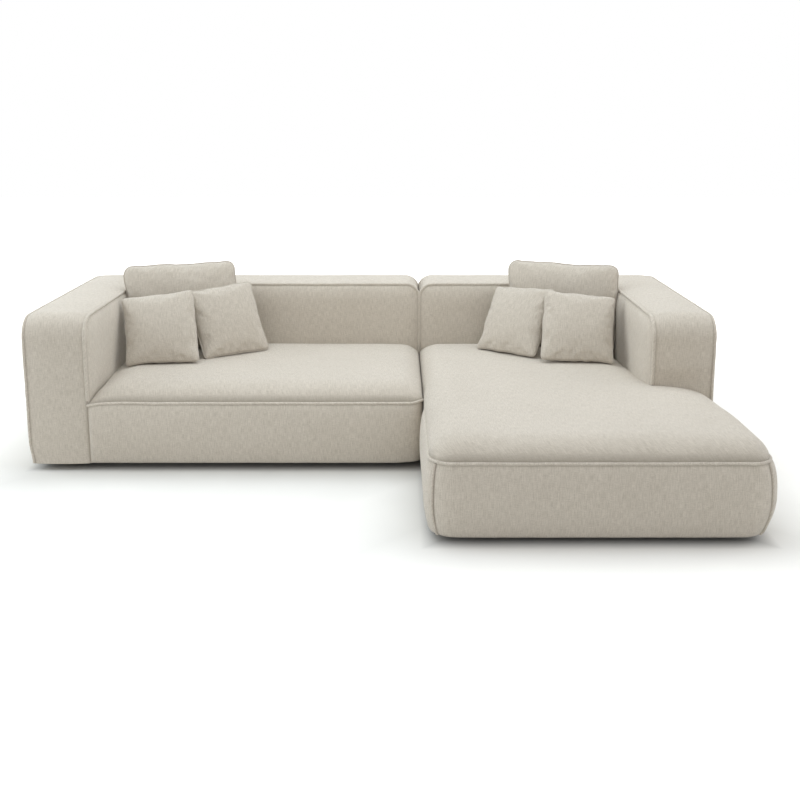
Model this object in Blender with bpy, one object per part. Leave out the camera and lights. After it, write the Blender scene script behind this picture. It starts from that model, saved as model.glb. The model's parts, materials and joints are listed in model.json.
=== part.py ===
"""Corner sofa with a chaise, in metres. X runs to the right, the front faces -Y, Z is up."""

import math

import bmesh
import bpy
import numpy as np
from mathutils import Matrix, Vector
from mathutils.bvhtree import BVHTree

# Overall sizes
WIDTH = 3.02
DEPTH = 1.975
SIDE_BULGE = 0.022
FRONT_BULGE = 0.030
GAP = 0.0003
MODULE_GAP = 0.003

# Arms and back, one bent wall in each module
ARM_THICKNESS = 0.258
BACK_THICKNESS = 0.250
SEAT_DEPTH = 0.883
WALL_SEAM = 0.677
WALL_CROWN = 0.022
ARM_FRONT_CROWN = 0.012
ARM_CORNER_RADIUS = 0.090
BACK_END_RADIUS = 0.065
REAR_CORNER_RADIUS = 0.050
INNER_CORNER_RADIUS = 0.020
PANEL_DOME = 0.028
DOME_FOOT = 0.425

# Seats
LEFT_SEAT_WIDTH = 1.466
LEFT_SEAM = 0.302
CHAISE_SEAM = 0.312
SEAT_CROWN = 0.085
SHOULDER = 0.105
CORNER_RADIUS = 0.030
CHAISE_CORNER_RADIUS = 0.052

# Cloth
CLOTH = 0.003
WELT = 0.004
UNDERSIDE = 0.030
HEM = 0.029

# Timber frame
SKIRT = 0.025
RAIL_WIDTH = 0.036
RAIL_HEIGHT = 0.120
RAIL_CORNER_CUT = 0.024
TENON_LENGTH = 0.014
TENON_THICKNESS = 0.010
TENON_HEIGHT = 0.070
BOARD = 0.012
CLIP_SEAT = 0.024
PAD_ABOVE_ARM = 0.045
POST = 0.040
TOP_RAIL_HEIGHT = 0.060
CAVITY_RADIUS = 0.055

# Springs and straps
WIRE = 0.002
DECK = 0.172
LOOP_WIDTH = 0.050
LOOP_STEP = 0.078
SPRING_PITCH = 0.215
CLIP = (0.020, 0.014)
STRAP_WIDTH = 0.050
STRAP = 0.002
STRAP_PITCH = 0.230

# Feet, dust cloth and the plates that join the modules
FOOT_RADIUS = 0.027
FOOT_TAPER = 0.005
STUD_RADIUS = 0.004
STUD_LENGTH = 0.022
COLLAR_RADIUS = 0.008
FOOT_INSET = 0.115
DUST_CLOTH = 0.001
PLATE = 0.003
PLATE_WIDTH = 0.060
PLATE_INSET = 0.280
HOLE_CLEARANCE = 0.0005

# Loose cushions
PILLOW_WIDTH = 0.340
PILLOW_THICKNESS = 0.115
BACK_CUSHION_WIDTH = 0.545
BACK_CUSHION_HEIGHT = 0.420
BACK_CUSHION_THICKNESS = 0.170
CUSHION_WELT = 0.0035
LEAN_CLEARANCE = 0.016
BACK_CUSHION_INSET = 0.400
OUTER_PILLOW_INSETS = (0.226, 0.251)
INNER_PILLOW_INSETS = (0.516, 0.532)
ARM_CLEARANCE = 0.006

# Places that follow from the sizes above
OUTER = WIDTH / 2 - SIDE_BULGE
REAR = DEPTH / 2 - SIDE_BULGE
FRONT = FRONT_BULGE - DEPTH / 2
BACK_FACE = REAR - BACK_THICKNESS
SEAT_FRONT = BACK_FACE - SEAT_DEPTH
SPLIT = ARM_THICKNESS + LEFT_SEAT_WIDTH - OUTER
CHAISE_SIDE = OUTER + SIDE_BULGE - FRONT_BULGE
RAIL_BOTTOM = UNDERSIDE + CLOTH + 0.001
RAIL_TOP = RAIL_BOTTOM + RAIL_HEIGHT
SHRINK = CLOTH + 6 * GAP
HOLLOW = SKIRT - GAP
CAVITY_TOP = WALL_SEAM - PAD_ABOVE_ARM
BOARD_TOP = CAVITY_TOP - BOARD - 2 * GAP


def clear_scene():
    for item in list(bpy.data.objects):
        bpy.data.objects.remove(item, do_unlink=True)


def finish(name, colour, roughness, metallic=0.0):
    """A plain surface finish."""
    material = bpy.data.materials.new(name)
    material.use_nodes = True
    shader = material.node_tree.nodes["Principled BSDF"]
    shader.inputs["Base Color"].default_value = (*colour, 1.0)
    shader.inputs["Roughness"].default_value = roughness
    shader.inputs["Metallic"].default_value = metallic
    return material


def smoothstep(value, low, high):
    part = min(max((value - low) / (high - low), 0.0), 1.0)
    return part * part * (3 - 2 * part)


def swell(part):
    """A quarter ellipse: steep at 0 and level from 1 on."""
    part = min(max(part, 0.0), 1.0)
    return math.sqrt(1 - (1 - part) ** 2)


def bow(part):
    """A half ellipse from 0 to 1 and back to 0."""
    return math.sqrt(max(1 - (2 * part - 1) ** 2, 0.0))


def stations(length, near_start, near_end, middle):
    """Positions along a length, close together where near_start and near_end say so."""
    first = near_start[-1] if near_start else 0.0
    last = length - (near_end[-1] if near_end else 0.0)
    inner = [first + (last - first) * i / middle for i in range(1, middle)]
    ends = [length - step for step in reversed(near_end)]
    return sorted({0.0, *near_start, *inner, *ends, length})


# Objects from meshes


def add_object(name, mesh, material, sharp=40.0):
    if sharp:
        mesh.shade_smooth()
        mesh.set_sharp_from_angle(angle=math.radians(sharp))
    mesh.materials.clear()
    mesh.materials.append(material)
    item = bpy.data.objects.new(name, mesh)
    bpy.context.scene.collection.objects.link(item)
    return item


def mesh_of(bm, name):
    mesh = bpy.data.meshes.new(name)
    bm.to_mesh(mesh)
    bm.free()
    return mesh


def evaluated_mesh(item):
    graph = bpy.context.evaluated_depsgraph_get()
    return bpy.data.meshes.new_from_object(item.evaluated_get(graph))


def bake(item):
    """Turns the object's modifiers into its mesh."""
    mesh = evaluated_mesh(item)
    item.modifiers.clear()
    item.data = mesh
    return item


def boolean(item, cutters, operation="DIFFERENCE"):
    """Joins or cuts an object with others, which then go."""
    for cutter in cutters:
        modifier = item.modifiers.new(cutter.name, "BOOLEAN")
        modifier.operation = operation
        modifier.solver = "EXACT"
        modifier.object = cutter
        bpy.context.view_layer.update()
        bake(item)
        bpy.data.objects.remove(cutter, do_unlink=True)
    return item


def box(name, low, high, material=None):
    """A closed box between two corners, its origin at its centre."""
    centre = [(a + b) / 2 for a, b in zip(low, high)]
    size = [b - a for a, b in zip(low, high)]
    bm = bmesh.new()
    bmesh.ops.create_cube(bm, size=1.0, matrix=Matrix.Diagonal((*size, 1.0)))
    item = add_object(name, mesh_of(bm, name), material, sharp=None)
    item.location = centre
    return item


def cutter_box(low, high):
    return box("cutter", low, high)


def plate(name, outline, axis, start, thickness, material):
    """A flat plate: an outline in the two other axes, extruded along one axis."""
    bm = bmesh.new()
    corners = []
    for a, b in outline:
        place = [a, b]
        place.insert(axis, start)
        corners.append(bm.verts.new(place))
    face = bm.faces.new(corners)
    pushed = bmesh.ops.extrude_face_region(bm, geom=[face])["geom"]
    step = Vector([thickness if i == axis else 0.0 for i in range(3)])
    moved = [part for part in pushed if isinstance(part, bmesh.types.BMVert)]
    bmesh.ops.translate(bm, vec=step, verts=moved)
    bmesh.ops.recalc_face_normals(bm, faces=bm.faces)
    return add_object(name, mesh_of(bm, name), material, sharp=None)


def rod(name, low, radius, length, sides, material=None):
    """An upright round bar that stands on a point."""
    bm = bmesh.new()
    bmesh.ops.create_cone(
        bm,
        cap_ends=True,
        segments=sides,
        radius1=radius,
        radius2=radius,
        depth=length,
        matrix=Matrix.Translation(low) @ Matrix.Translation((0, 0, length / 2)),
    )
    return add_object(name, mesh_of(bm, name), material)


def turned(name, profile, place, steps, material):
    """A profile of (radius, height) points turned about a vertical axis."""
    bm = bmesh.new()
    points = [bm.verts.new((radius, 0, height)) for radius, height in profile]
    edges = [bm.edges.new(pair) for pair in zip(points, points[1:])]
    bmesh.ops.spin(
        bm,
        geom=points + edges,
        cent=(0, 0, 0),
        axis=(0, 0, 1),
        angle=2 * math.pi,
        steps=steps,
        use_merge=True,
    )
    bmesh.ops.remove_doubles(bm, verts=bm.verts, dist=1e-6)
    bmesh.ops.recalc_face_normals(bm, faces=bm.faces)
    item = add_object(name, mesh_of(bm, name), material)
    item.location = place
    return item


# Upholstered surfaces


def add_grid(bm, rows, keep=None):
    """Faces over a grid of points; keep(i, j) can leave some of them out."""
    verts = [[bm.verts.new(point) for point in row] for row in rows]
    for i in range(len(rows) - 1):
        for j in range(len(rows[0]) - 1):
            if keep is None or keep(i, j):
                corners = (verts[i][j], verts[i][j + 1], verts[i + 1][j + 1], verts[i + 1][j])
                bm.faces.new(corners)


def weld(bm):
    """Closes the seams between grids and turns the faces outward."""
    bmesh.ops.remove_doubles(bm, verts=bm.verts, dist=1e-5)
    loose = [vert for vert in bm.verts if not vert.link_faces]
    bmesh.ops.delete(bm, geom=loose, context="VERTS")
    bmesh.ops.recalc_face_normals(bm, faces=bm.faces)
    bmesh.ops.triangulate(bm, faces=bm.faces)


def shrink(bm, distance):
    """Moves the whole skin inward by an even distance."""
    bm.normal_update()
    steps = [vert.normal * distance * vert.calc_shell_factor() for vert in bm.verts]
    for vert, step in zip(bm.verts, steps):
        vert.co -= step


def cloth_shell(name, bm, material):
    """A cover: the skin thickened inward by the cloth."""
    item = add_object(name, mesh_of(bm, name), material)
    modifier = item.modifiers.new("cloth", "SOLIDIFY")
    modifier.thickness = CLOTH
    modifier.offset = -1.0
    modifier.use_even_offset = True
    return bake(item)


def foam_block(name, bm, material, cutters):
    """A pad: the closed skin set in by the cloth, hollowed for the frame."""
    shrink(bm, SHRINK)
    return boolean(add_object(name, mesh_of(bm, name), material), cutters)


# Arm and back wall
# Local x runs from the arm's outer seam towards the split.


def wall_length(side):
    return OUTER - side * SPLIT - MODULE_GAP / 2


def wall_plan(side):
    """Columns down the wall: inner and outer plan points, their normals and the run s."""
    arc = [ARM_CORNER_RADIUS * (1 - math.cos(math.radians(a))) for a in (30, 60, 90)]
    end = [BACK_END_RADIUS * (1 - math.cos(math.radians(a))) for a in (30, 60, 90)]
    arm_run = SEAT_DEPTH - INNER_CORNER_RADIUS
    columns = []
    for s in stations(arm_run, arc, [0.03, 0.12], 4):
        y = SEAT_FRONT + s
        columns.append([(ARM_THICKNESS, y), (0.0, y), (1, 0), (-1, 0), s])
    turn = REAR_CORNER_RADIUS
    middle = turn * (1 - math.sqrt(0.5))
    outer_turn = [
        ((0.0, REAR - turn), (-1, 0)),
        ((middle, REAR - middle), (-0.7, 0.7)),
        ((turn, REAR), (0, 1)),
    ]
    for k, (outer, normal) in enumerate(outer_turn, 1):
        angle = math.pi / 8 * k
        inner = (
            ARM_THICKNESS + INNER_CORNER_RADIUS * (1 - math.cos(angle)),
            BACK_FACE - INNER_CORNER_RADIUS * (1 - math.sin(angle)),
        )
        columns.append([inner, outer, (math.cos(angle), -math.sin(angle)), normal, arm_run])
    start = ARM_THICKNESS + INNER_CORNER_RADIUS
    back_run = wall_length(side) - start
    for s in stations(back_run, [0.03, 0.12], end, 5):
        columns.append([(start + s, BACK_FACE), (start + s, REAR), (0, -1), (0, 1), arm_run + s])
    return columns


class Wall:
    """The skin of one module's arm and back."""

    TURN = HEM / BACK_THICKNESS
    ACROSS = (0.0, TURN, 0.5, 1 - TURN, 1.0)

    def __init__(self, side):
        self.side = side
        self.columns = wall_plan(side)
        self.run = self.columns[-1][4]
        self.bend = SEAT_DEPTH - INNER_CORNER_RADIUS
        self.corner = [i for i, column in enumerate(self.columns) if column[4] == self.bend]

    def top(self, s):
        """The seam's height, and how far it faces forward and up."""
        if s < ARM_CORNER_RADIUS:
            angle = math.acos(1 - s / ARM_CORNER_RADIUS)
            height = WALL_SEAM - ARM_CORNER_RADIUS * (1 - math.sin(angle))
            return height, math.cos(angle), math.sin(angle)
        if s > self.run - BACK_END_RADIUS:
            angle = math.acos(1 - (self.run - s) / BACK_END_RADIUS)
            return WALL_SEAM - BACK_END_RADIUS * (1 - math.sin(angle)), 0.0, math.sin(angle)
        return WALL_SEAM, 0.0, 1.0

    def heights(self, s):
        """Row heights in one column, from the underside to the seam."""
        high = self.top(s)[0]
        inner = [0.16, 0.42, 0.68, 0.88]
        rows = [UNDERSIDE, DECK, DOME_FOOT]
        return rows + [DOME_FOOT + (high - DOME_FOOT) * part for part in inner] + [high]

    def dome(self, s, z, inner):
        """How far a panel swells beyond its seams."""
        high = self.top(s)[0]
        foot = DOME_FOOT if inner else UNDERSIDE
        part = swell((high - z) / 0.10) * swell((z - foot) / 0.14)
        part *= swell(s / 0.12) if s <= self.bend else swell((self.run - s) / 0.10)
        if inner:
            part *= swell(abs(s - self.bend) / 0.16)
            return PANEL_DOME * part
        return SIDE_BULGE * part

    def place(self, x, y, z):
        return (self.side * (OUTER - x), y, z)

    def panel_point(self, j, i, inner):
        """A point of the inner or outer panel: column j, row i."""
        column = self.columns[j]
        (x, y), (nx, ny), s = column[0 if inner else 1], column[2 if inner else 3], column[4]
        z = self.heights(s)[i]
        swollen = self.dome(s, z, inner)
        free = smoothstep(z, DOME_FOOT, DOME_FOOT + 0.05) if inner else 1.0
        at_top = i == len(self.heights(s)) - 1
        if at_top or j == 0:
            forward, up = self.top(s)[1:] if at_top else (1.0, 0.0)
            swollen += 0.7 * WELT * free
            fade = 1.0 if at_top else free
            y -= 0.7 * WELT * forward * fade * self.front_free(z)
            z += 0.7 * WELT * up
        return self.place(x + nx * swollen, y + ny * swollen, z)

    def front_free(self, z):
        """The chaise covers the right arm's front below its own crown."""
        return smoothstep(z, DOME_FOOT, DOME_FOOT + 0.05) if self.side > 0 else 1.0

    def crossing(self, j, i, part):
        """A point of the boxing strip, part of the way from the outer seam to the inner."""
        outer = Vector(self.panel_point(j, i, False))
        inner = Vector(self.panel_point(j, i, True))
        point = outer.lerp(inner, part)
        if part in (0.0, 1.0):
            return point
        s = self.columns[j][4]
        rows = self.heights(s)
        forward, up = self.top(s)[1:] if i == len(rows) - 1 else (1.0 if j == 0 else 0.0, 0.0)
        point.y -= forward * ARM_FRONT_CROWN * bow(part) * self.front_free(rows[i])
        point.z += up * WALL_CROWN * bow(part)
        return point

    def skin(self, first, last, closed):
        """The skin from one column to another, open underneath or closed all round."""
        bm = bmesh.new()
        rows = len(self.heights(0.3))
        span = range(first, last + 1)
        for inner in (False, True):
            grid = [[self.panel_point(j, i, inner) for j in span] for i in range(rows)]
            open_low = inner and not closed
            add_grid(bm, grid, lambda i, j, low=open_low: i or not low or self.meets_front(j))
        add_grid(bm, [[self.crossing(j, rows - 1, p) for j in span] for p in self.ACROSS])
        for j in (first, last):
            grid = [[self.crossing(j, i, p) for p in self.ACROSS] for i in range(rows)]
            covered = self.side > 0 and j == 0 and not closed
            add_grid(bm, grid, lambda i, k, covered=covered: i or not covered)
        if closed:
            add_grid(bm, [[self.crossing(j, 0, p) for j in span] for p in self.ACROSS])
        else:
            self.add_hem(bm, span)
        weld(bm)
        return bm

    def meets_front(self, j):
        """The left arm's front is open to view down to the underside."""
        return self.side < 0 and j == 0

    def add_hem(self, bm, span):
        """The cloth turned in under the frame along the outer side and the arm's front."""
        edge = [self.crossing(j, 0, 0.0) for j in span]
        turned_in = []
        ahead = HEM if self.side < 0 else 0.0
        for j in span:
            x, y = self.columns[j][1]
            y = min(max(y, SEAT_FRONT + ahead), REAR - HEM)
            turned_in.append(self.place(max(x, HEM), y, UNDERSIDE))
        turned_in[-1] = self.crossing(span[-1], 0, self.TURN)
        add_grid(bm, [edge, turned_in])
        if self.side > 0:
            return
        front = [self.crossing(0, 0, part) for part in self.ACROSS]
        behind = []
        for part in self.ACROSS:
            behind.append(self.place(max(HEM, part * ARM_THICKNESS), SEAT_FRONT + HEM, UNDERSIDE))
        add_grid(bm, [front, behind])


# Seats


class Seat:
    """A crowned top panel with a boxing band that hangs from its welt.

    The plan is a rectangle of grid lines; a notch leaves out the corner where the arm stands.
    """

    def __init__(self, xs, ys, notch, seam, free, soft_corners):
        self.xs = xs
        self.ys = ys
        self.notch = notch
        self.seam = seam
        self.free = free
        self.soft_corners = soft_corners
        self.loop = self.boundary()
        self.ring = [(self.plan(*key), self.normal(k)) for k, key in enumerate(self.loop)]

    def boundary(self):
        """Grid keys round the edge, from the front left corner and to the right."""
        last_x, last_y = len(self.xs) - 1, len(self.ys) - 1
        turn_x = self.xs.index(self.notch[0]) if self.notch else last_x
        turn_y = self.ys.index(self.notch[1]) if self.notch else 0
        loop = [(i, 0) for i in range(last_x)]
        loop += [(last_x, j) for j in range(turn_y)]
        loop += [(i, turn_y) for i in range(last_x, turn_x, -1)]
        loop += [(turn_x, j) for j in range(turn_y, last_y)]
        loop += [(i, last_y) for i in range(turn_x, 0, -1)]
        return loop + [(0, j) for j in range(last_y, 0, -1)]

    def plan(self, i, j):
        """The plan point of a grid key; an outer corner is drawn in to its rounding."""
        point = np.array([self.xs[i], self.ys[j]])
        radius, way = self.soft_corners.get((i, j), (0.0, (0, 0)))
        return point + radius * (1 - math.sqrt(0.5)) * np.array(way)

    def normal(self, k):
        before, after = self.loop[k - 1], self.loop[(k + 1) % len(self.loop)]
        here = self.plan(*self.loop[k])
        ways = [here - self.plan(*before), self.plan(*after) - here]
        ways = [way / np.linalg.norm(way) for way in ways]
        along = ways[0] + ways[1]
        along /= np.linalg.norm(along)
        return np.array([along[1], -along[0]])

    def edge_distances(self, x, y):
        """How far a plan point lies from each edge that has a shoulder."""
        distances = [y - self.ys[0], x - self.xs[0], self.xs[-1] - x]
        if self.notch:
            aside, ahead = self.notch[0] - x, self.notch[1] - y
            if ahead <= 0:
                distances[2] = aside
            elif aside > 0:
                distances.append(math.hypot(aside, ahead))
            else:
                distances.append(ahead)
        return distances

    def edge_point(self, point, normal):
        """The welted seam at one boundary point."""
        free = self.free(point, normal)
        out = 0.7 * WELT * free
        return (*(point + normal * out), self.seam + 0.7 * WELT * free)

    def top_point(self, i, j):
        x, y = self.plan(i, j)
        height = 1.0
        for distance in self.edge_distances(x, y):
            height *= swell(distance / SHOULDER)
        return (x, y, self.seam + SEAT_CROWN * height)

    def band_point(self, point, normal, level):
        """A point of the band below the seam; it swells where nothing stands beside it."""
        part = (self.seam - level) / (self.seam - UNDERSIDE)
        out = FRONT_BULGE * bow(part) * self.free(point, normal)
        return (*(point + normal * out), level)

    def inside(self, i, j):
        if not self.notch:
            return True
        return self.xs[i] < self.notch[0] or self.ys[j] < self.notch[1]

    def skin(self, closed):
        bm = bmesh.new()
        last = len(self.ys) - 1
        grid = [[self.top_point(i, j) for i in range(len(self.xs))] for j in range(last + 1)]
        edge = []
        for (i, j), place in zip(self.loop, self.ring):
            at_back = j == last and 0 < i < self.loop_end()
            edge.append(grid[j][i] if at_back else self.edge_point(*place))
            grid[j][i] = edge[-1]
        add_grid(bm, grid, lambda j, i: self.inside(i, j))
        levels = [self.seam - 0.02, self.seam - 0.07, DECK, 0.09, 0.045, UNDERSIDE]
        band = [edge]
        for level in levels:
            band.append([self.band_point(*place, level) for place in self.ring])
        band = [row + row[:1] for row in band]
        hung = [self.free(*place) > 0.01 or self.beside(*place) for place in self.ring]
        hung.append(hung[0])
        add_grid(bm, band, lambda i, j: closed or i < 3 or (hung[j] and hung[j + 1]))
        if closed:
            bm.faces.new([bm.verts.new(point) for point in band[-1][:-1]])
        else:
            self.add_hem(bm, band[-1])
        weld(bm)
        return bm

    def loop_end(self):
        """The last column along the back edge."""
        return self.xs.index(self.notch[0]) if self.notch else len(self.xs) - 1

    def beside(self, point, normal):
        """The sides along the split and beside the arm's front hang to the underside as well."""
        return abs(point[0] - SPLIT) < 0.01 + MODULE_GAP or point[0] > CHAISE_SIDE - 0.01

    def add_hem(self, bm, bottom):
        """The cloth turned in under the frame along the free sides."""
        places = self.ring + self.ring[:1]
        low = self.xs[0] + HEM
        high = self.xs[-1] - HEM
        ahead = self.ys[0] + HEM
        inner = []
        for point, normal in places:
            x, y = point - normal * HEM
            inner.append((min(max(x, low), high), max(y, ahead), UNDERSIDE))
        strong = [self.free(*place) > 0.02 for place in places]
        add_grid(bm, [bottom, inner], lambda i, j: strong[j] and strong[j + 1])


def left_seat():
    """The left module's seat, between its arm and the split."""
    x0 = ARM_THICKNESS - OUTER + GAP
    x1 = SPLIT - MODULE_GAP / 2
    y1 = BACK_FACE - GAP
    width, depth = x1 - x0, y1 - SEAT_FRONT
    xs = [x0 + s for s in stations(width, [0.02, 0.06], [0.02, 0.06], 6)]
    ys = [SEAT_FRONT + s for s in stations(depth, [0.015, 0.05], [0.12], 4)]
    soft = {
        (len(xs) - 1, 0): (CORNER_RADIUS, (-1, 1)),
        (0, len(ys) - 1): (INNER_CORNER_RADIUS + 0.004, (1, -1)),
    }

    def free(point, normal):
        fade = smoothstep(point[0], x0, x0 + 0.02) * (0.5 + 0.5 * smoothstep(x1 - point[0], 0, 0.1))
        return max(-normal[1], 0.0) ** 2 * fade

    return Seat(xs, ys, None, LEFT_SEAM, free, soft)


def chaise_seat():
    """The chaise: its right side follows the arm, turns round its front and runs forward."""
    x0 = SPLIT + MODULE_GAP / 2
    arm = OUTER - ARM_THICKNESS - 2 * GAP
    ahead = SEAT_FRONT - 2 * GAP
    y1 = BACK_FACE - GAP
    xs = [x0 + s for s in stations(arm - x0, [0.02, 0.06], [0.02, 0.06, 0.11], 4)]
    xs += [arm + s for s in stations(CHAISE_SIDE - arm, [0.04], [0.02, 0.06, 0.11], 2)[1:]]
    xs[xs.index(x0 + (arm - x0))] = arm
    ys = [FRONT + s for s in stations(ahead - FRONT, [0.02, 0.06], [0.02, 0.06, 0.11], 4)]
    ys[-1] = ahead
    ys += [ahead + s for s in stations(y1 - ahead, [0.04, 0.1], [0.12], 4)[1:]]
    turn = xs.index(arm)
    soft = {
        (0, 0): (CHAISE_CORNER_RADIUS, (1, 1)),
        (len(xs) - 1, 0): (CHAISE_CORNER_RADIUS, (-1, 1)),
        (len(xs) - 1, ys.index(ahead)): (CORNER_RADIUS, (-1, -1)),
        (turn, len(ys) - 1): (INNER_CORNER_RADIUS + 0.004, (-1, -1)),
    }

    def free(point, normal):
        left = 1 - smoothstep(point[1], SEAT_FRONT - 0.14, SEAT_FRONT - 0.05)
        right = 1 - smoothstep(point[1], ahead - 0.10, ahead - 0.01)
        share = max(-normal[1], 0.0) ** 2 + max(-normal[0], 0.0) ** 2 * left
        share += max(normal[0], 0.0) ** 2 * right * (point[0] > arm + 0.05)
        near = min(abs(point[0] - x0) + abs(point[1] - FRONT),
                   abs(point[0] - CHAISE_SIDE) + abs(point[1] - FRONT))
        return share * (0.5 + 0.5 * smoothstep(near, 0.0, 0.12))

    return Seat(xs, ys, (arm, ahead), CHAISE_SEAM, free, soft)


# Timber frame


def rail(name, low, high, axis, tenons, material):
    """A rail along X (axis 0) or Y (axis 1), with stub tenons at the marked ends."""
    item = box(name, low, high, material)
    middle = [(a + b) / 2 for a, b in zip(low, high)]
    half = [0.0, 0.0, TENON_HEIGHT / 2]
    half[1 - axis] = TENON_THICKNESS / 2
    added = []
    for end in tenons:
        face = high[axis] if end else low[axis]
        reach = TENON_LENGTH if end else -TENON_LENGTH
        a = [m - h for m, h in zip(middle, half)]
        b = [m + h for m, h in zip(middle, half)]
        a[axis], b[axis] = sorted((face - reach * 0.5, face + reach))
        added.append(cutter_box(a, b))
    return boolean(item, added, "UNION")


def mortise(place, axis):
    """A cutter for the tenon that ends at a rail's face, through which it points along an axis."""
    half = [0.0, 0.0, TENON_HEIGHT / 2 + GAP]
    half[1 - axis] = TENON_THICKNESS / 2 + GAP
    half[axis] = TENON_LENGTH + GAP
    return cutter_box([p - h for p, h in zip(place, half)], [p + h for p, h in zip(place, half)])


def stud_hole(x, y):
    """A cutter for a stud that rises into a rail."""
    low = (x, y, UNDERSIDE - 0.01)
    length = RAIL_BOTTOM + STUD_LENGTH + 2 * GAP - low[2]
    return rod("cutter", low, STUD_RADIUS + HOLE_CLEARANCE, length, 8)


def corner_cut(x, y, way):
    """A cutter that takes off a rail's front corner, so that the padding can turn round it."""
    over = 0.004
    reach = RAIL_CORNER_CUT + over
    outline = [(x - way * over, y - over), (x + way * reach, y - over), (x - way * over, y + reach)]
    return plate("cutter", outline, 2, RAIL_BOTTOM - over, RAIL_HEIGHT + 2 * over, None)


class Frame:
    """The base frame, arm frame and back frame of one module."""

    def __init__(self, side, timber, board):
        self.side = side
        self.name = "left" if side < 0 else "right"
        self.timber = timber
        self.board = board
        self.length = wall_length(side)
        self.front = SEAT_FRONT if side < 0 else FRONT

    def span(self, low, high):
        """Local runs from the arm's outer seam as a world X range."""
        return tuple(sorted((self.side * (OUTER - low), self.side * (OUTER - high))))

    def solid(self, name, x, y, z):
        """A board between local x, world y and z ranges."""
        low, high = self.span(*x)
        return box(f"{self.name}_{name}", (low, y[0], z[0]), (high, y[1], z[1]), self.board)

    def base_ranges(self):
        """Local x ranges of the rails that run front to back."""
        outer = (SKIRT, SKIRT + RAIL_WIDTH)
        arm = (ARM_THICKNESS - SKIRT - RAIL_WIDTH, ARM_THICKNESS - SKIRT)
        link = (self.length - SKIRT - RAIL_WIDTH, self.length - SKIRT)
        return {"outer_rail": outer, "arm_rail": arm, "link_rail": link}

    def cross_ranges(self):
        """Y ranges of the rails that run across."""
        front = self.front + SKIRT
        seat = BACK_FACE + SKIRT
        return {
            "front_rail": (front, front + RAIL_WIDTH),
            "seat_rail": (seat, seat + RAIL_WIDTH),
            "rear_rail": (REAR - SKIRT - RAIL_WIDTH, REAR - SKIRT),
        }

    def build_base(self, feet, plates):
        """Front and rear rails run through; the others are tenoned into them."""
        z = (RAIL_BOTTOM, RAIL_TOP)
        along, across = self.base_ranges(), self.cross_ranges()
        whole = self.span(along["outer_rail"][0], along["link_rail"][1])
        middle = (RAIL_BOTTOM + RAIL_TOP) / 2
        tenon_y = (across["front_rail"][1], across["rear_rail"][0])
        holes = {name: [] for name in (*along, *across)}
        for name, x_range in along.items():
            x = sum(self.span(*x_range)) / 2
            holes["front_rail"].append(mortise((x, tenon_y[0], middle), 1))
            holes["rear_rail"].append(mortise((x, tenon_y[1], middle), 1))
        inner = self.span(along["arm_rail"][1], along["link_rail"][0])
        seat_y = sum(across["seat_rail"]) / 2
        for name, x in (("arm_rail", inner[0 if self.side < 0 else 1]),
                        ("link_rail", inner[1 if self.side < 0 else 0])):
            holes[name].append(mortise((x, seat_y, middle), 0))
        if self.side > 0:
            short_y = (SEAT_FRONT + SKIRT, SEAT_FRONT + SKIRT + RAIL_WIDTH)
            short = self.span(along["outer_rail"][1], along["arm_rail"][0])
            for name, x in (("outer_rail", short[1]), ("arm_rail", short[0])):
                holes[name].append(mortise((x, sum(short_y) / 2, middle), 0))
            low = (short[0] + GAP, short_y[0], z[0])
            rail("right_arm_cross_rail", low, (short[1] - GAP, short_y[1], z[1]), 0, (0, 1), self.timber)
        for end, way in ((whole[0], 1), (whole[1], -1)):
            holes["front_rail"].append(corner_cut(end, across["front_rail"][0], way))
        for name, x, y in feet + plates:
            holes[name].append(stud_hole(x, y))
        for name, x_range in along.items():
            low, high = self.span(*x_range)
            ends = (low, tenon_y[0] + GAP, z[0]), (high, tenon_y[1] - GAP, z[1])
            item = rail(f"{self.name}_{name}", *ends, 1, (0, 1), self.timber)
            boolean(item, holes[name])
        for name in ("front_rail", "rear_rail"):
            y = across[name]
            item = rail(f"{self.name}_{name}", (whole[0], y[0], z[0]), (whole[1], y[1], z[1]),
                        0, (), self.timber)
            boolean(item, holes[name])
        y = across["seat_rail"]
        ends = (inner[0] + GAP, y[0], z[0]), (inner[1] - GAP, y[1], z[1])
        rail(f"{self.name}_seat_rail", *ends, 0, (0, 1), self.timber)

    def arm_outline(self, setback):
        """The side view of the arm's boards, rounded at the top front."""
        front = SEAT_FRONT + SKIRT + GAP + setback
        low, high = RAIL_TOP + GAP, BOARD_TOP
        radius = CAVITY_RADIUS - GAP
        points = [(front, low), (REAR - SKIRT - GAP, low), (REAR - SKIRT - GAP, high)]
        for i in range(5):
            angle = math.pi / 2 * i / 4
            points.append((front + radius * (1 - math.sin(angle)),
                           high - radius * (1 - math.cos(angle))))
        return points

    def build_arm(self):
        """Two side boards on the rails, a front board between them and a top board over them."""
        outer = (SKIRT + GAP, SKIRT + GAP + BOARD)
        reach = ARM_THICKNESS - SKIRT - CLIP_SEAT - GAP
        inner = (reach - BOARD, reach)
        for name, x_range in (("arm_outer_board", outer), ("arm_inner_board", inner)):
            low, high = self.span(*x_range)
            outline = self.arm_outline(0.0)
            if name == "arm_inner_board":
                rear = self.back_plane() - GAP
                outline = [(min(y, rear), z) for y, z in outline]
            plate(f"{self.name}_{name}", outline, 0, low, high - low, self.board)
        front = SEAT_FRONT + SKIRT + GAP
        between = (outer[1] + GAP, inner[0] - GAP)
        low = RAIL_TOP + GAP
        self.solid("arm_front_board", between, (front, front + BOARD), (low, BOARD_TOP - CAVITY_RADIUS))
        self.solid("arm_top_board", (outer[0], inner[1]),
                   (front + CAVITY_RADIUS, REAR - SKIRT - GAP), (BOARD_TOP + GAP, CAVITY_TOP - GAP))

    def back_plane(self):
        """The front of the back's posts, just behind the straps."""
        return BACK_FACE + SKIRT + RAIL_WIDTH + STRAP + 2 * GAP

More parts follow.
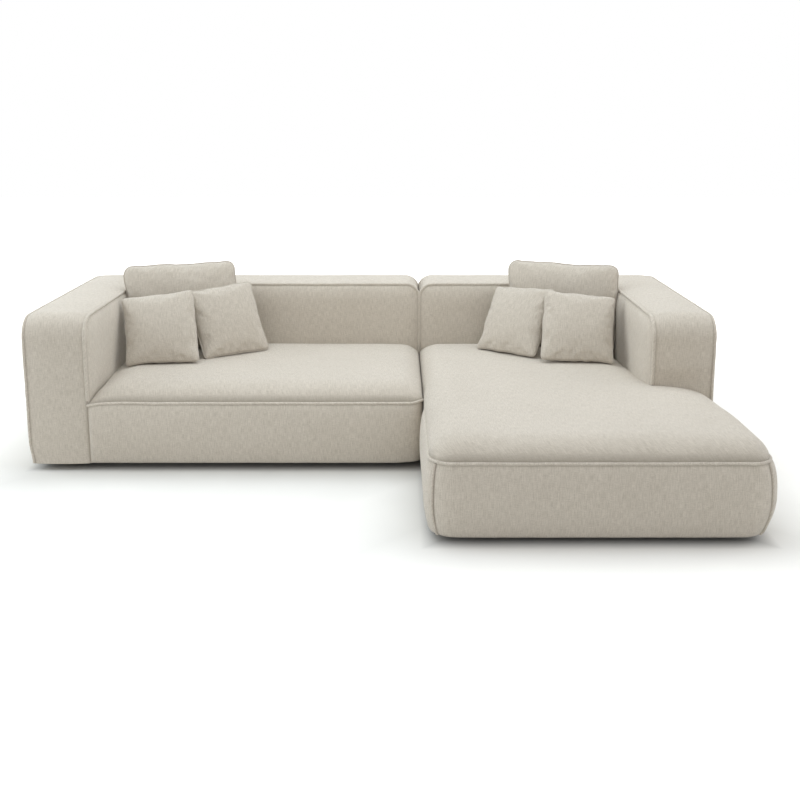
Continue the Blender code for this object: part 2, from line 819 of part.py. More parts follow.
    def build_back(self):
        """A corner post, an end post at the split and a top rail between them."""
        face = self.back_plane()
        start = ARM_THICKNESS - SKIRT - RAIL_WIDTH
        end = self.length - SKIRT - GAP
        low = RAIL_TOP + GAP
        ahead = (face, face + RAIL_WIDTH)
        self.solid("back_corner_post", (start, start + POST), ahead, (low, BOARD_TOP))
        self.solid("back_end_post", (end - RAIL_WIDTH + GAP, end), (face, REAR - SKIRT - GAP),
                   (low, BOARD_TOP - CAVITY_RADIUS / 2))
        self.solid("back_top_rail", (start + POST + GAP, end - RAIL_WIDTH), ahead,
                   (BOARD_TOP - TOP_RAIL_HEIGHT, BOARD_TOP - CAVITY_RADIUS / 2))

    def build_webbing(self, material):
        """Elastic straps, woven and stapled to the seat rail, the posts and the top rail."""
        x0 = ARM_THICKNESS - SKIRT + 2 * GAP
        x1 = self.length - SKIRT - 2 * GAP
        y = BACK_FACE + SKIRT + RAIL_WIDTH + GAP
        z0, z1 = RAIL_BOTTOM + 0.03, BOARD_TOP - CAVITY_RADIUS / 2 - GAP
        count = max(int((x1 - x0 - STRAP_WIDTH) / STRAP_PITCH), 1)
        first = x0 + POST / 2
        pitch = (x1 - first - STRAP_WIDTH - RAIL_WIDTH) / count
        cuts = [x0, *(first + pitch * i + w for i in range(count + 1) for w in (0, STRAP_WIDTH)), x1]
        rows = 3
        step = (z1 - TOP_RAIL_HEIGHT - RAIL_TOP - 0.05) / rows
        levels = [z0]
        for i in range(rows):
            level = RAIL_TOP + 0.05 + step * i
            levels += [level, level + STRAP_WIDTH]
        levels.append(z1)
        bm = bmesh.new()
        grid = [[(self.side * (OUTER - x), y, z) for x in cuts] for z in levels]
        add_grid(bm, grid, lambda i, j: j % 2 == 1 or i % 2 == 1)
        weld(bm)
        for face in bm.faces:
            if face.normal.y > 0:
                face.normal_flip()
        item = add_object(f"{self.name}_back_webbing", mesh_of(bm, "webbing"), material, sharp=None)
        thicken = item.modifiers.new("strap", "SOLIDIFY")
        thicken.thickness = STRAP
        thicken.offset = -1.0
        bake(item)


# Springs


def wire_mesh(points, radius):
    """A four-sided wire along a run of points."""
    curve = bpy.data.curves.new("wire", "CURVE")
    curve.dimensions = "3D"
    curve.bevel_depth = radius
    curve.bevel_resolution = 0
    curve.use_fill_caps = True
    spline = curve.splines.new("POLY")
    spline.points.add(len(points) - 1)
    for point, place in zip(spline.points, points):
        point.co = (*place, 1.0)
    item = bpy.data.objects.new("wire", curve)
    bpy.context.scene.collection.objects.link(item)
    mesh = evaluated_mesh(item)
    bpy.data.objects.remove(item, do_unlink=True)
    wire = bpy.data.objects.new("wire", mesh)
    bpy.context.scene.collection.objects.link(wire)
    return wire


def spring_points(start, end):
    """A sinuous spring that arches from one clip to the other."""
    run = (Vector(end) - Vector(start)).length
    along = (Vector(end) - Vector(start)).normalized()
    aside = Vector((along.y, -along.x, 0))
    rise = DECK - WIRE - GAP - start[2]
    loops = max(int((run - 0.08) / LOOP_STEP) // 2 * 2 + 1, 3)
    step = (run - 0.08) / loops
    points = [Vector(start)]
    for i in range(loops):
        sign = 1 if i % 2 else -1
        for part, width in ((0.25, 1.0), (0.75, 1.0)):
            reach = 0.04 + step * (i + part)
            lift = rise * math.sin(math.pi * reach / run) ** 0.7
            points.append(Vector(start) + along * reach
                          + aside * sign * width * LOOP_WIDTH / 2 + Vector((0, 0, lift)))
    points.append(Vector(end))
    return [tuple(point) for point in points]


def spring_unit(name, starts, ends, metal):
    """Sinuous springs with crimped clips at their ends, joined by two tie wires across them."""
    parts = []
    clip = [size / 2 for size in CLIP]
    for start, end in zip(starts, ends):
        parts.append(wire_mesh(spring_points(start, end), WIRE))
        for place in (start, end):
            along_x = abs(start[0] - end[0]) > abs(start[1] - end[1])
            half = (clip[1], clip[0]) if along_x else (clip[0], clip[1])
            z = RAIL_TOP + GAP
            low = (place[0] - half[0], place[1] - half[1], z)
            parts.append(cutter_box(low, (place[0] + half[0], place[1] + half[1], z + 2 * WIRE)))
    for part in (0.36, 0.64):
        run = [Vector(a).lerp(Vector(b), part) for a, b in zip(starts, ends)]
        lift = (DECK - WIRE - GAP - starts[0][2]) * math.sin(math.pi * part) ** 0.7
        ways = [point + Vector((0, 0, lift - 0.0004)) for point in (run[0], run[-1])]
        reach = (ways[1] - ways[0]).normalized() * (LOOP_WIDTH / 2 + 0.01)
        parts.append(wire_mesh([ways[0] - reach, ways[1] + reach], WIRE * 0.8))
    unit = parts.pop()
    unit.name = name
    mate = parts.pop()
    boolean(unit, [part for part in parts if part is not mate] + [mate], "UNION")
    unit.data.materials.clear()
    unit.data.materials.append(metal)
    return unit


def build_springs(metal):
    """Front to back under the left seat, side to side under the chaise."""
    z = RAIL_TOP + GAP + WIRE
    rail_middle = SKIRT + RAIL_WIDTH / 2
    x0 = ARM_THICKNESS - OUTER + 0.06
    x1 = SPLIT - SKIRT - RAIL_WIDTH - 0.06
    count = max(round((x1 - x0) / SPRING_PITCH), 1)
    xs = [x0 + (x1 - x0) * i / count for i in range(count + 1)]
    rear = BACK_FACE + rail_middle
    spring_unit("left_spring_unit", [(x, SEAT_FRONT + rail_middle, z) for x in xs],
                [(x, rear, z) for x in xs], metal)
    y0 = FRONT + SKIRT + RAIL_WIDTH + 0.06
    y1 = BACK_FACE + SKIRT - 0.06
    count = max(round((y1 - y0) / SPRING_PITCH), 1)
    ys = [y0 + (y1 - y0) * i / count for i in range(count + 1)]
    low = SPLIT + MODULE_GAP / 2 + rail_middle
    high = OUTER - ARM_THICKNESS + SKIRT + CLIP_SEAT / 2
    spring_unit("right_spring_unit", [(low, y, z) for y in ys], [(high, y, z) for y in ys], metal)


# Underside


def foot_places(frame):
    """Feet under the arm rail and the link rail, near the front and the rear."""
    along = frame.base_ranges()
    front = frame.front + FOOT_INSET
    rear = REAR - FOOT_INSET
    places = []
    for name in ("arm_rail", "link_rail"):
        x = sum(frame.span(*along[name])) / 2
        places += [(name, x, front), (name, x, rear)]
    return places


def plate_ys():
    return (SEAT_FRONT + PLATE_INSET, BACK_FACE - PLATE_INSET / 2)


def plate_places(frame):
    x = sum(frame.span(*frame.base_ranges()["link_rail"])) / 2
    return [("link_rail", x, y) for y in plate_ys()]


def build_feet(frame, black):
    """Turned feet, each with a stud that screws up into its rail."""
    top = UNDERSIDE - GAP
    low = FOOT_RADIUS - FOOT_TAPER
    profile = [
        (0, 0),
        (low, 0),
        (low + 0.001, 0.003),
        (FOOT_RADIUS, top),
        (COLLAR_RADIUS, top),
        (COLLAR_RADIUS, RAIL_BOTTOM - GAP),
        (STUD_RADIUS, RAIL_BOTTOM - GAP),
        (STUD_RADIUS, RAIL_BOTTOM + STUD_LENGTH),
        (0, RAIL_BOTTOM + STUD_LENGTH),
    ]
    for name, x, y in foot_places(frame):
        end = "front" if y < 0 else "rear"
        where = "arm" if name == "arm_rail" else "link"
        turned(f"{frame.name}_{where}_{end}_foot", profile, (x, y, 0), 12, black)


def build_dust_cloth(frame, cloth):
    """Thin black cloth under the rails, with a hole for each foot's stud."""
    inset = HEM + max(OUTER - CHAISE_SIDE, 0.0) + 0.002
    top = RAIL_BOTTOM - GAP
    low, high = frame.span(inset, frame.length - SKIRT - RAIL_WIDTH + 0.002)
    item = box(f"{frame.name}_dust_cloth", (low, frame.front + inset, top - DUST_CLOTH),
               (high, REAR - inset, top), cloth)
    places = [(x, y) for name, x, y in foot_places(frame) if name == "arm_rail"]
    radius = COLLAR_RADIUS + HOLE_CLEARANCE
    boolean(item, [rod("cutter", (x, y, UNDERSIDE - 0.01), radius, 0.05, 12) for x, y in places])


def build_plates(left, right, metal):
    """Steel plates under both link rails, each with two studs."""
    top = UNDERSIDE - GAP
    for name, y in zip(("link_plate_front", "link_plate_rear"), plate_ys()):
        xs = [plate_places(frame)[0][1] for frame in (left, right)]
        margin = RAIL_WIDTH / 2 - 0.002
        item = box(name, (xs[0] - margin, y - PLATE_WIDTH / 2, top - PLATE),
                   (xs[1] + margin, y + PLATE_WIDTH / 2, top), metal)
        foot = top - PLATE / 2
        studs = []
        for x in xs:
            studs.append(rod("collar", (x, y, foot), COLLAR_RADIUS, RAIL_BOTTOM - GAP - foot, 12))
            length = RAIL_BOTTOM + STUD_LENGTH - foot
            studs.append(rod("stud", (x, y, foot), STUD_RADIUS, length, 8))
        boolean(item, studs, "UNION")


# Upholstery of one module


def hollow(side, run, y, z):
    """A box cutter between local runs from the arm's outer seam."""
    x = sorted((side * (OUTER - run[0]), side * (OUTER - run[1])))
    return cutter_box((x[0], y[0], z[0]), (x[1], y[1], z[1]))


def base_hollow(side, front, start):
    """Room below the deck for the rails, from the front rail to the rear one."""
    run = (start, wall_length(side) - HOLLOW)
    return hollow(side, run, (front + HOLLOW, REAR - HOLLOW), (0.0, DECK))


def arm_hollow(side):
    """The hollow of the arm, rounded at the top front."""
    x = sorted((side * (OUTER - HOLLOW), side * (OUTER - ARM_THICKNESS + HOLLOW + CLIP_SEAT)))
    front, rear = SEAT_FRONT + HOLLOW, REAR - HOLLOW
    points = [(front, DECK / 2), (rear, DECK / 2), (rear, CAVITY_TOP)]
    for i in range(5):
        angle = math.pi / 2 * i / 4
        points.append((front + CAVITY_RADIUS * (1 - math.sin(angle)),
                       CAVITY_TOP - CAVITY_RADIUS * (1 - math.cos(angle))))
    return plate("cutter", points, 0, x[0], x[1] - x[0], None)


def back_hollow(side):
    """The hollow of the back, behind its straps."""
    run = (HOLLOW, wall_length(side) - HOLLOW)
    ahead = BACK_FACE + SKIRT + RAIL_WIDTH
    return hollow(side, run, (ahead, REAR - HOLLOW), (DECK / 2, BOARD_TOP + GAP))


def build_wall(side, cloth, foam):
    name = "left" if side < 0 else "right"
    wall = Wall(side)
    last = len(wall.columns) - 1
    joint = wall.corner[0]
    cloth_shell(f"{name}_wall_cover", wall.skin(0, last, False), cloth)
    front = SEAT_FRONT if side < 0 else FRONT
    foam_block(f"{name}_arm_foam", wall.skin(0, joint, True), foam,
               [arm_hollow(side), base_hollow(side, front, HOLLOW)])
    foam_block(f"{name}_back_foam", wall.skin(joint, last, True), foam,
               [arm_hollow(side), back_hollow(side), base_hollow(side, front, HOLLOW)])


def build_seat(side, seat, cloth, foam):
    name = "left" if side < 0 else "right"
    cloth_shell(f"{name}_seat_cover", seat.skin(False), cloth)
    front = SEAT_FRONT if side < 0 else FRONT
    start = -0.1 if side < 0 else HOLLOW
    foam_block(f"{name}_seat_foam", seat.skin(True), foam, [base_hollow(side, front, start)])


# Loose cushions


def pillow_mesh(width, height, thickness, fullness, pinch, corner):
    """A filled square: two crowned sides that meet in a welt, with drawn-in edges."""
    count = 8
    steps = [math.sin(math.pi / 2 * (2 * k / count - 1)) for k in range(count + 1)]

    def edge(a, b):
        round_off = 1 - corner * (abs(a) * abs(b)) ** 6
        x = width / 2 * a * (1 - pinch * (1 - b * b)) * round_off
        z = height / 2 * b * (1 - pinch * (1 - a * a)) * round_off
        return x, z

    bm = bmesh.new()
    for face in (-1, 1):
        rows = []
        for b in steps:
            row = []
            for a in steps:
                x, z = edge(a, b)
                full = ((1 - a * a) * (1 - b * b)) ** fullness
                row.append((x, face * (CUSHION_WELT + (thickness / 2 - CUSHION_WELT) * full), z))
            rows.append(row)
        add_grid(bm, rows)
    rim = [(a, -1.0) for a in steps[:-1]] + [(1.0, b) for b in steps[:-1]]
    rim += [(a, 1.0) for a in steps[:0:-1]] + [(-1.0, b) for b in steps[:0:-1]]
    rim.append(rim[0])
    rings = []
    for y, out in ((-CUSHION_WELT, 0.0), (0.0, CUSHION_WELT * 1.6), (CUSHION_WELT, 0.0)):
        ring = []
        for a, b in rim:
            x, z = edge(a, b)
            away = Vector((a**7, b**7)).normalized() * out
            ring.append((x + away.x, y, z + away.y))
        rings.append(ring)
    add_grid(bm, rings)
    weld(bm)
    return mesh_of(bm, "pillow")


def samples(item):
    """Points spread over an object's surface, in world space."""
    mesh, world = item.data, item.matrix_world
    points = [world @ vert.co for vert in mesh.vertices]
    points += [world @ face.center for face in mesh.polygons]
    for edge in mesh.edges:
        a, b = (mesh.vertices[i].co for i in edge.vertices)
        points.append(world @ ((a + b) / 2))
    return points


def tree_of(item):
    mesh, world = item.data, item.matrix_world
    points = [world @ vert.co for vert in mesh.vertices]
    return BVHTree.FromPolygons(points, [tuple(face.vertices) for face in mesh.polygons])


def settle(item, direction, others, clearance):
    """Moves an object along a direction until only the clearance is left to the others."""
    bpy.context.view_layer.update()
    way = Vector(direction).normalized()
    own_tree, own_points = tree_of(item), samples(item)
    room = math.inf
    for other in others:
        tree = tree_of(other)
        for point in own_points:
            hit = tree.ray_cast(point, way)[3]
            room = min(room, hit if hit is not None else math.inf)
        for point in samples(other):
            hit = own_tree.ray_cast(point, -way)[3]
            room = min(room, hit if hit is not None else math.inf)
    if math.isfinite(room):
        item.location += way * (room - clearance)
    bpy.context.view_layer.update()


def cushion(name, mesh, material, place, yaw, lean, roll):
    """A loose cushion that starts above its seat; angles in degrees."""
    item = add_object(name, mesh, material, sharp=50.0)
    turn = Matrix.Rotation(math.radians(yaw), 4, "Z")
    turn = turn @ Matrix.Rotation(math.radians(-lean), 4, "X")
    turn = turn @ Matrix.Rotation(math.radians(roll), 4, "Y")
    item.matrix_world = Matrix.Translation(place) @ turn
    return item


def build_cushions(cloth):
    """Back cushions lean by the back; throw pillows lean in front of them."""
    seats = {s: bpy.data.objects[f"{s}_seat_cover"] for s in ("left", "right")}
    walls = {s: bpy.data.objects[f"{s}_wall_cover"] for s in ("left", "right")}
    back_mesh = pillow_mesh(BACK_CUSHION_WIDTH, BACK_CUSHION_HEIGHT, BACK_CUSHION_THICKNESS,
                            0.36, 0.03, 0.05)
    pillow = pillow_mesh(PILLOW_WIDTH, PILLOW_WIDTH, PILLOW_THICKNESS, 0.42, 0.05, 0.05)
    arm = OUTER - ARM_THICKNESS
    high = WALL_SEAM + 0.4
    backs = {
        "left": (arm - BACK_CUSHION_INSET, 17.0, 13.0, -1.0),
        "right": (arm - BACK_CUSHION_INSET, -14.0, 13.0, 1.0),
    }
    for side, (inset, yaw, lean, roll) in backs.items():
        sign = -1 if side == "left" else 1
        ahead = BACK_FACE - BACK_CUSHION_HEIGHT - BACK_CUSHION_THICKNESS / 2
        place = (sign * inset, ahead, SEAT_CROWN + LEFT_SEAM + BACK_CUSHION_HEIGHT / 2 + 0.02)
        item = cushion(f"{side}_back_cushion", back_mesh, cloth, place, yaw, lean, roll)
        settle(item, (0, 0, -1), [seats[side]], 0.015)
        settle(item, (sign, 0, 0), [walls[side]], ARM_CLEARANCE)
        settle(item, (0, 1, 0), [walls[side]], LEAN_CLEARANCE)
        settle(item, (0, 0, -1), [seats[side]], GAP * 1.5)
    pillows = {
        "left_pillow_inner": ("left", arm - INNER_PILLOW_INSETS[0], 32.0, 25.5, -4.0),
        "left_pillow_outer": ("left", arm - OUTER_PILLOW_INSETS[0], 4.0, 29.5, -7.0),
        "right_pillow_inner": ("right", arm - INNER_PILLOW_INSETS[1], -42.5, 32.5, -4.5),
        "right_pillow_outer": ("right", arm - OUTER_PILLOW_INSETS[1], 0.0, 34.0, 7.0),
    }
    for name, (side, inset, yaw, lean, roll) in pillows.items():
        sign = -1 if side == "left" else 1
        ahead = BACK_FACE - 2 * PILLOW_WIDTH
        place = (sign * inset, ahead, SEAT_CROWN + LEFT_SEAM + PILLOW_WIDTH / 2 + 0.03)
        item = cushion(name, pillow, cloth, place, yaw, lean, roll)
        behind = [bpy.data.objects[f"{side}_back_cushion"], walls[side]]
        if "outer" in name:
            behind.append(bpy.data.objects[name.replace("outer", "inner")])
        settle(item, (0, 0, -1), [seats[side]], 0.015)
        settle(item, (0, 1, 0), behind, LEAN_CLEARANCE)
        settle(item, (0, 0, -1), [seats[side]], GAP * 1.5)


def main():
    clear_scene()
    cloth = finish("melange_cloth", (0.60, 0.57, 0.52), 0.9)
    foam = finish("foam", (0.86, 0.82, 0.66), 0.85)
    timber = finish("pine", (0.72, 0.54, 0.34), 0.6)
    board = finish("board", (0.66, 0.50, 0.33), 0.65)
    metal = finish("zinc_steel", (0.62, 0.62, 0.60), 0.35, 1.0)
    strap = finish("webbing", (0.12, 0.11, 0.10), 0.8)
    black = finish("black_plastic", (0.02, 0.02, 0.02), 0.5)
    dust = finish("dust_cloth", (0.03, 0.03, 0.03), 0.9)
    frames = [Frame(-1, timber, board), Frame(1, timber, board)]
    for frame in frames:
        frame.build_base(foot_places(frame), plate_places(frame))
        frame.build_arm()
        frame.build_back()
        frame.build_webbing(strap)
        build_feet(frame, black)
        build_dust_cloth(frame, dust)
    build_plates(*frames, metal)
    build_springs(metal)
    for side in (-1, 1):
        build_wall(side, cloth, foam)
    build_seat(-1, left_seat(), cloth, foam)
    build_seat(1, chaise_seat(), cloth, foam)
    build_cushions(cloth)


main()
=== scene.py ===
"""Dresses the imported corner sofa: sewn covers, welts, cushions, finishes, floor and light."""

import json
import logging
import math
from collections.abc import Callable, Sequence
from dataclasses import dataclass, field
from enum import Enum

import bmesh
import bpy
import numpy as np
from mathutils import Matrix, Vector, noise
from mathutils.bvhtree import BVHTree
from mathutils.kdtree import KDTree

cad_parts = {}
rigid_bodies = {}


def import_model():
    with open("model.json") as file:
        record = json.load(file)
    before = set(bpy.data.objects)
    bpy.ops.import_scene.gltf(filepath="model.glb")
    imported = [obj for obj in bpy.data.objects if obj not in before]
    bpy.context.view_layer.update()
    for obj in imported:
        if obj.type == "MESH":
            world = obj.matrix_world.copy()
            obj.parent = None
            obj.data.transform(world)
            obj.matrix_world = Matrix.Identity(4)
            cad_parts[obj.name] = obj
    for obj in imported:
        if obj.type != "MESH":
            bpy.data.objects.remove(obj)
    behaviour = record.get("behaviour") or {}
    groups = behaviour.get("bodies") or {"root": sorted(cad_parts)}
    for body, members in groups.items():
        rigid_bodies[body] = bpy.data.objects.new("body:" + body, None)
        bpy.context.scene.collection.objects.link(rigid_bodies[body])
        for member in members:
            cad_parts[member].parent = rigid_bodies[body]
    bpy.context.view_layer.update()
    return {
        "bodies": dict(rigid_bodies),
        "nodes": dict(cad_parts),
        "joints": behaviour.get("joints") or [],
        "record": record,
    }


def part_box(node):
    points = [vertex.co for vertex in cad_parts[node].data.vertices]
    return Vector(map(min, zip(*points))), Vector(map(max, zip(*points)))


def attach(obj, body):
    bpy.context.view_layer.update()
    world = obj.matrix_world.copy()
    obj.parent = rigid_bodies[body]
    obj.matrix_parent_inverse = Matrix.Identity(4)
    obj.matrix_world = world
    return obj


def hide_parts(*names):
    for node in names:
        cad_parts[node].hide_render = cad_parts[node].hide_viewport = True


LOG = logging.getLogger("corner_sofa")

Triple = tuple[float, float, float]
Colour = Triple
Array = np.ndarray
Pair = tuple[Array, Array]
EdgeShare = Callable[[Array, Array], Array]
Item = bpy.types.Object
Material = bpy.types.Material
Mesh = bpy.types.Mesh
Socket = bpy.types.NodeSocket

# Where each mesh keeps its place in the cloth, and how near a seam each point lies
THREADS = "Threads"
SEAM = "seam"
SEAM_REACH = 0.030

# Two points of a skin that are closer than this are one
WELD = 1e-4

# Edges that turn by more than these degrees stay crisp; with the second, none do
CRISP = 55.0
SMOOTH = 180.0

# How many cells the boxing strip and the seats' bands have across
STRIP_CELLS = 24
BAND_CELLS = 34

# The pitch of the seats' cells, and of the last ones before the back
SEAT_PITCH = 0.016
REAR_PITCH = 0.005
REAR_REACH = 0.03


class Side(Enum):
    """The two modules, by the sign of their outer side's X."""

    LEFT = -1
    RIGHT = 1

    @property
    def word(self) -> str:
        """The word that starts this module's piece names."""
        return self.name.lower()


@dataclass(frozen=True)
class SofaPlan:
    """The sizes that the covers share with the frame, in metres."""

    outer: float = 1.488
    rear: float = 0.9655
    front: float = -0.9575
    back_face: float = 0.7155
    seat_front: float = -0.1675
    split: float = 0.236
    chaise_side: float = 1.480
    arm_thickness: float = 0.258
    seat_depth: float = 0.883
    wall_seam: float = 0.677
    wall_crown: float = 0.022
    arm_front_crown: float = 0.012
    arm_corner_radius: float = 0.090
    back_end_radius: float = 0.065
    rear_corner_radius: float = 0.050
    inner_corner_radius: float = 0.020
    side_bulge: float = 0.022
    front_bulge: float = 0.030
    panel_dome: float = 0.028
    dome_foot: float = 0.425
    left_seam: float = 0.302
    chaise_seam: float = 0.312
    seat_crown: float = 0.085
    shoulder: float = 0.105
    underside: float = 0.030
    hem: float = 0.029
    module_gap: float = 0.003
    gap: float = 0.0003


# The sums that lay out and shape the covers


def joined(*runs: Array) -> Array:
    """Runs of positions in a row, where each starts at the end of the one before."""
    return np.concatenate([runs[0], *(run[1:] for run in runs[1:])])


def legs(*parts: tuple[Array | float, Array | float]) -> Array:
    """A row of x and y for each point along some legs, each given by its x and its y."""
    return np.concatenate([np.stack(np.broadcast_arrays(x, y), 1) for x, y in parts])


def unit(vectors: Array) -> Array:
    """The same vectors, one unit long."""
    return vectors / np.maximum(np.linalg.norm(vectors, axis=1, keepdims=True), 1e-12)


def bell(distance: Array, width: float) -> Array:
    """1 at a distance of 0, falling off smoothly over about a width."""
    return np.exp(-((distance / width) ** 2))


def smoothstep(value: Array, low: float, high: float) -> Array:
    """Rises smoothly from 0 at low to 1 at high."""
    part = np.clip((np.asarray(value, float) - low) / (high - low), 0.0, 1.0)
    return part * part * (3 - 2 * part)


def swell(part: Array) -> Array:
    """A quarter ellipse: steep at 0 and level from 1 on."""
    part = np.clip(part, 0.0, 1.0)
    return np.sqrt(1 - (1 - part) ** 2)


def slope(part: Array) -> Array:
    """Rises from 0 to 1 as part does, evenly at first and flat at its top."""
    return 1 - (1 - np.clip(part, 0.0, 1.0)) ** 2


def bow(part: Array) -> Array:
    """A half ellipse from 0 to 1 and back to 0."""
    return np.sqrt(np.clip(1 - (2 * np.asarray(part, float) - 1) ** 2, 0.0, 1.0))


def spread(start: float, stop: float, pitch: float) -> Array:
    """Even positions from start to stop, about a pitch apart."""
    return np.linspace(start, stop, max(1, round(abs(stop - start) / pitch)) + 1)


def eased(
    start: float, stop: float, count: int, ease_start: bool = True, ease_stop: bool = True
) -> Array:
    """Positions from start to stop that crowd together at the eased ends.

    Args:
        start: The first position.
        stop: The last one.
        count: How many steps lead from the one to the other.
        ease_start: Whether they crowd together at the first.
        ease_stop: Whether they crowd together at the last.

    Returns:
        One more position than there are steps.
    """
    turn = np.linspace(0.0, np.pi / 2, count + 1)
    if ease_start and ease_stop:
        part = np.sin(turn) ** 2
    else:
        part = 1 - np.cos(turn) if ease_start else np.sin(turn)
    return start + (stop - start) * part


def lengths(points: Array, axis: int) -> Array:
    """The length along a grid of points, from its first row or column on.

    Args:
        points: A grid of points, rows by columns by 3.
        axis: 0 to measure down the columns, 1 to measure along the rows.

    Returns:
        One length for each point of the grid.
    """
    steps = np.linalg.norm(np.diff(points, axis=axis), axis=2)
    shape = list(points.shape[:2])
    shape[axis] = 1
    return np.concatenate([np.zeros(shape), np.cumsum(steps, axis=axis)], axis=axis)


def laid(points: Array) -> Array:
    """Where each point of a grid lies in its cloth, in metres along the rows and the columns."""
    return np.stack([lengths(points, 1), lengths(points, 0)], -1)


def ripple(points: Array, scale: float, seed: float) -> Array:
    """Smooth noise from -1 to 1 at each point of an array."""
    flat = points.reshape(-1, 3) * scale + seed
    values = [noise.noise(Vector(point)) for point in flat]
    return np.array(values).reshape(points.shape[:-1])


def waves(
    points: Array, slow: tuple[float, float], fast: tuple[float, float], share: float = 0.4
) -> Array:
    """Slow waves with a share of faster ones over them, each by its scale and its seed."""
    return ripple(points, *slow) + share * ripple(points, *fast)


@dataclass
class Skin:
    """Collects sewn panels and makes one mesh from them."""

    name: str
    points: list[Array] = field(default_factory=list)
    threads: list[Array] = field(default_factory=list)
    seams: list[Array] = field(default_factory=list)
    faces: list[Array] = field(default_factory=list)
    count: int = 0

    def add(
        self,
        points: Array,
        threads: Array,
        seam: Array | None = None,
        keep: Array | None = None,
    ) -> None:
        """Adds one panel.

        Args:
            points: Its grid of points, rows by columns by 3.
            threads: Where each point lies in the cloth, rows by columns by 2, in metres.
            seam: Each point's distance from its nearest seam, or None for far from any.
            keep: Which of the grid's cells have a face, or None for all of them.
        """
        rows, columns = points.shape[:2]
        index = np.arange(rows * columns).reshape(rows, columns) + self.count
        quads = np.stack([index[:-1, :-1], index[:-1, 1:], index[1:, 1:], index[1:, :-1]], -1)
        self.faces.append(quads[keep] if keep is not None else quads.reshape(-1, 4))
        self.points.append(points.reshape(-1, 3))
        self.threads.append(threads.reshape(-1, 2))
        far = np.full((rows, columns), SEAM_REACH) if seam is None else seam
        self.seams.append(np.clip(far, 0.0, SEAM_REACH).reshape(-1) / SEAM_REACH)
        self.count += rows * columns

    def build(self, finish: Material, sharp: float = CRISP) -> Item:
        """Makes the object.

        Args:
            finish: Its material.
            sharp: Edges that turn by more than this many degrees stay crisp.

        Returns:
            The new object, its points in the sofa's own frame.
        """
        points = np.concatenate(self.points)
        faces = np.concatenate(self.faces)
        threads = np.concatenate(self.threads)
        mesh = bpy.data.meshes.new(self.name)
        mesh.from_pydata(points.tolist(), [], faces.tolist())
        layer = mesh.uv_layers.new(name=THREADS)
        layer.data.foreach_set("uv", threads[faces.reshape(-1)].astype(np.float32).ravel())
        attribute = mesh.attributes.new(SEAM, "FLOAT", "POINT")
        attribute.data.foreach_set("value", np.concatenate(self.seams).astype(np.float32))
        bm = bmesh.new()
        bm.from_mesh(mesh)
        bmesh.ops.remove_doubles(bm, verts=bm.verts, dist=WELD)
        bmesh.ops.delete(bm, geom=[v for v in bm.verts if not v.link_faces], context="VERTS")
        bmesh.ops.recalc_face_normals(bm, faces=bm.faces)
        bm.to_mesh(mesh)
        bm.free()
        mesh.shade_smooth()
        mesh.set_sharp_from_angle(angle=math.radians(sharp))
        mesh.materials.append(finish)
        item = bpy.data.objects.new(self.name, mesh)
        bpy.context.scene.collection.objects.link(item)
        return item


def sweep(path: Array, radii: Array, sides: int, closed: bool) -> Array:
    """A round bar along a path.

    Args:
        path: The points of its middle line.
        radii: Its radius at each point.
        sides: How many faces go round it.
        closed: Whether its end meets its start.

    Returns:
        A grid of points, one row for each point of the path.
    """
    if closed:
        tangents = np.roll(path, -1, axis=0) - np.roll(path, 1, axis=0)
    else:
        tangents = np.gradient(path, axis=0)
    tangents = unit(tangents)
    before = Vector(tangents[0])
    across = before.orthogonal().normalized()
    angles = np.linspace(0, 2 * np.pi, sides + 1)
    cosines, sines = np.cos(angles), np.sin(angles)
    rings = []
    for point, tangent, radius in zip(path, tangents, radii):
        here = Vector(tangent)
        across = (before.rotation_difference(here) @ across).normalized()
        before = here
        ring = np.outer(cosines, across) + np.outer(sines, here.cross(across))
        rings.append(point + radius * ring)
    if closed:
        rings.append(rings[0])
    return np.array(rings)


@dataclass(frozen=True)
class Welt:
    """A covered cord sewn into a seam, in metres.

    It strays from its line by its wander and swells by a share of its radius.
    """

    radius: float = 0.0062
    wander: float = 0.0009
    swelling: float = 0.07
    pitch: float = 0.007
    sides: int = 12
    seed: float = 3.0

    def build(
        self,
        name: str,
        path: Array,
        finish: Material,
        thickness: Array | None = None,
        closed: bool = False,
    ) -> Item:
        """Makes the welt along a seam.

        Args:
            name: The piece's name.
            path: The points of its middle line.
            finish: Its material.
            thickness: The share of its full radius at each point, or None for all of it.
            closed: Whether it goes all round.

        Returns:
            The new object.
        """
        path = resample(path, self.pitch, closed)
        share = np.ones(len(path)) if thickness is None else thickness
        share = np.interp(np.linspace(0, 1, len(path)), np.linspace(0, 1, len(share)), share)
        strays = [ripple(path, 16.0, self.seed + 7 * axis) for axis in range(3)]
        radii = self.radius * share * (1 + self.swelling * ripple(path, 60.0, self.seed))
        grid = sweep(path + self.wander * np.stack(strays, 1), radii, self.sides, closed)
        skin = Skin(name)
        skin.add(grid, laid(grid))
        return skin.build(finish, sharp=SMOOTH)


def resample(path: Array, pitch: float, closed: bool) -> Array:
    """The same path with points an even pitch apart."""
    line = np.vstack([path, path[:1]]) if closed else path
    steps = np.linalg.norm(np.diff(line, axis=0), axis=1)
    reach = np.concatenate([[0.0], np.cumsum(steps)])
    places = np.linspace(0.0, reach[-1], max(4, round(reach[-1] / pitch)) + 1)
    places = places[:-1] if closed else places
    return np.stack([np.interp(places, reach, line[:, axis]) for axis in range(3)], axis=1)


# Finishes


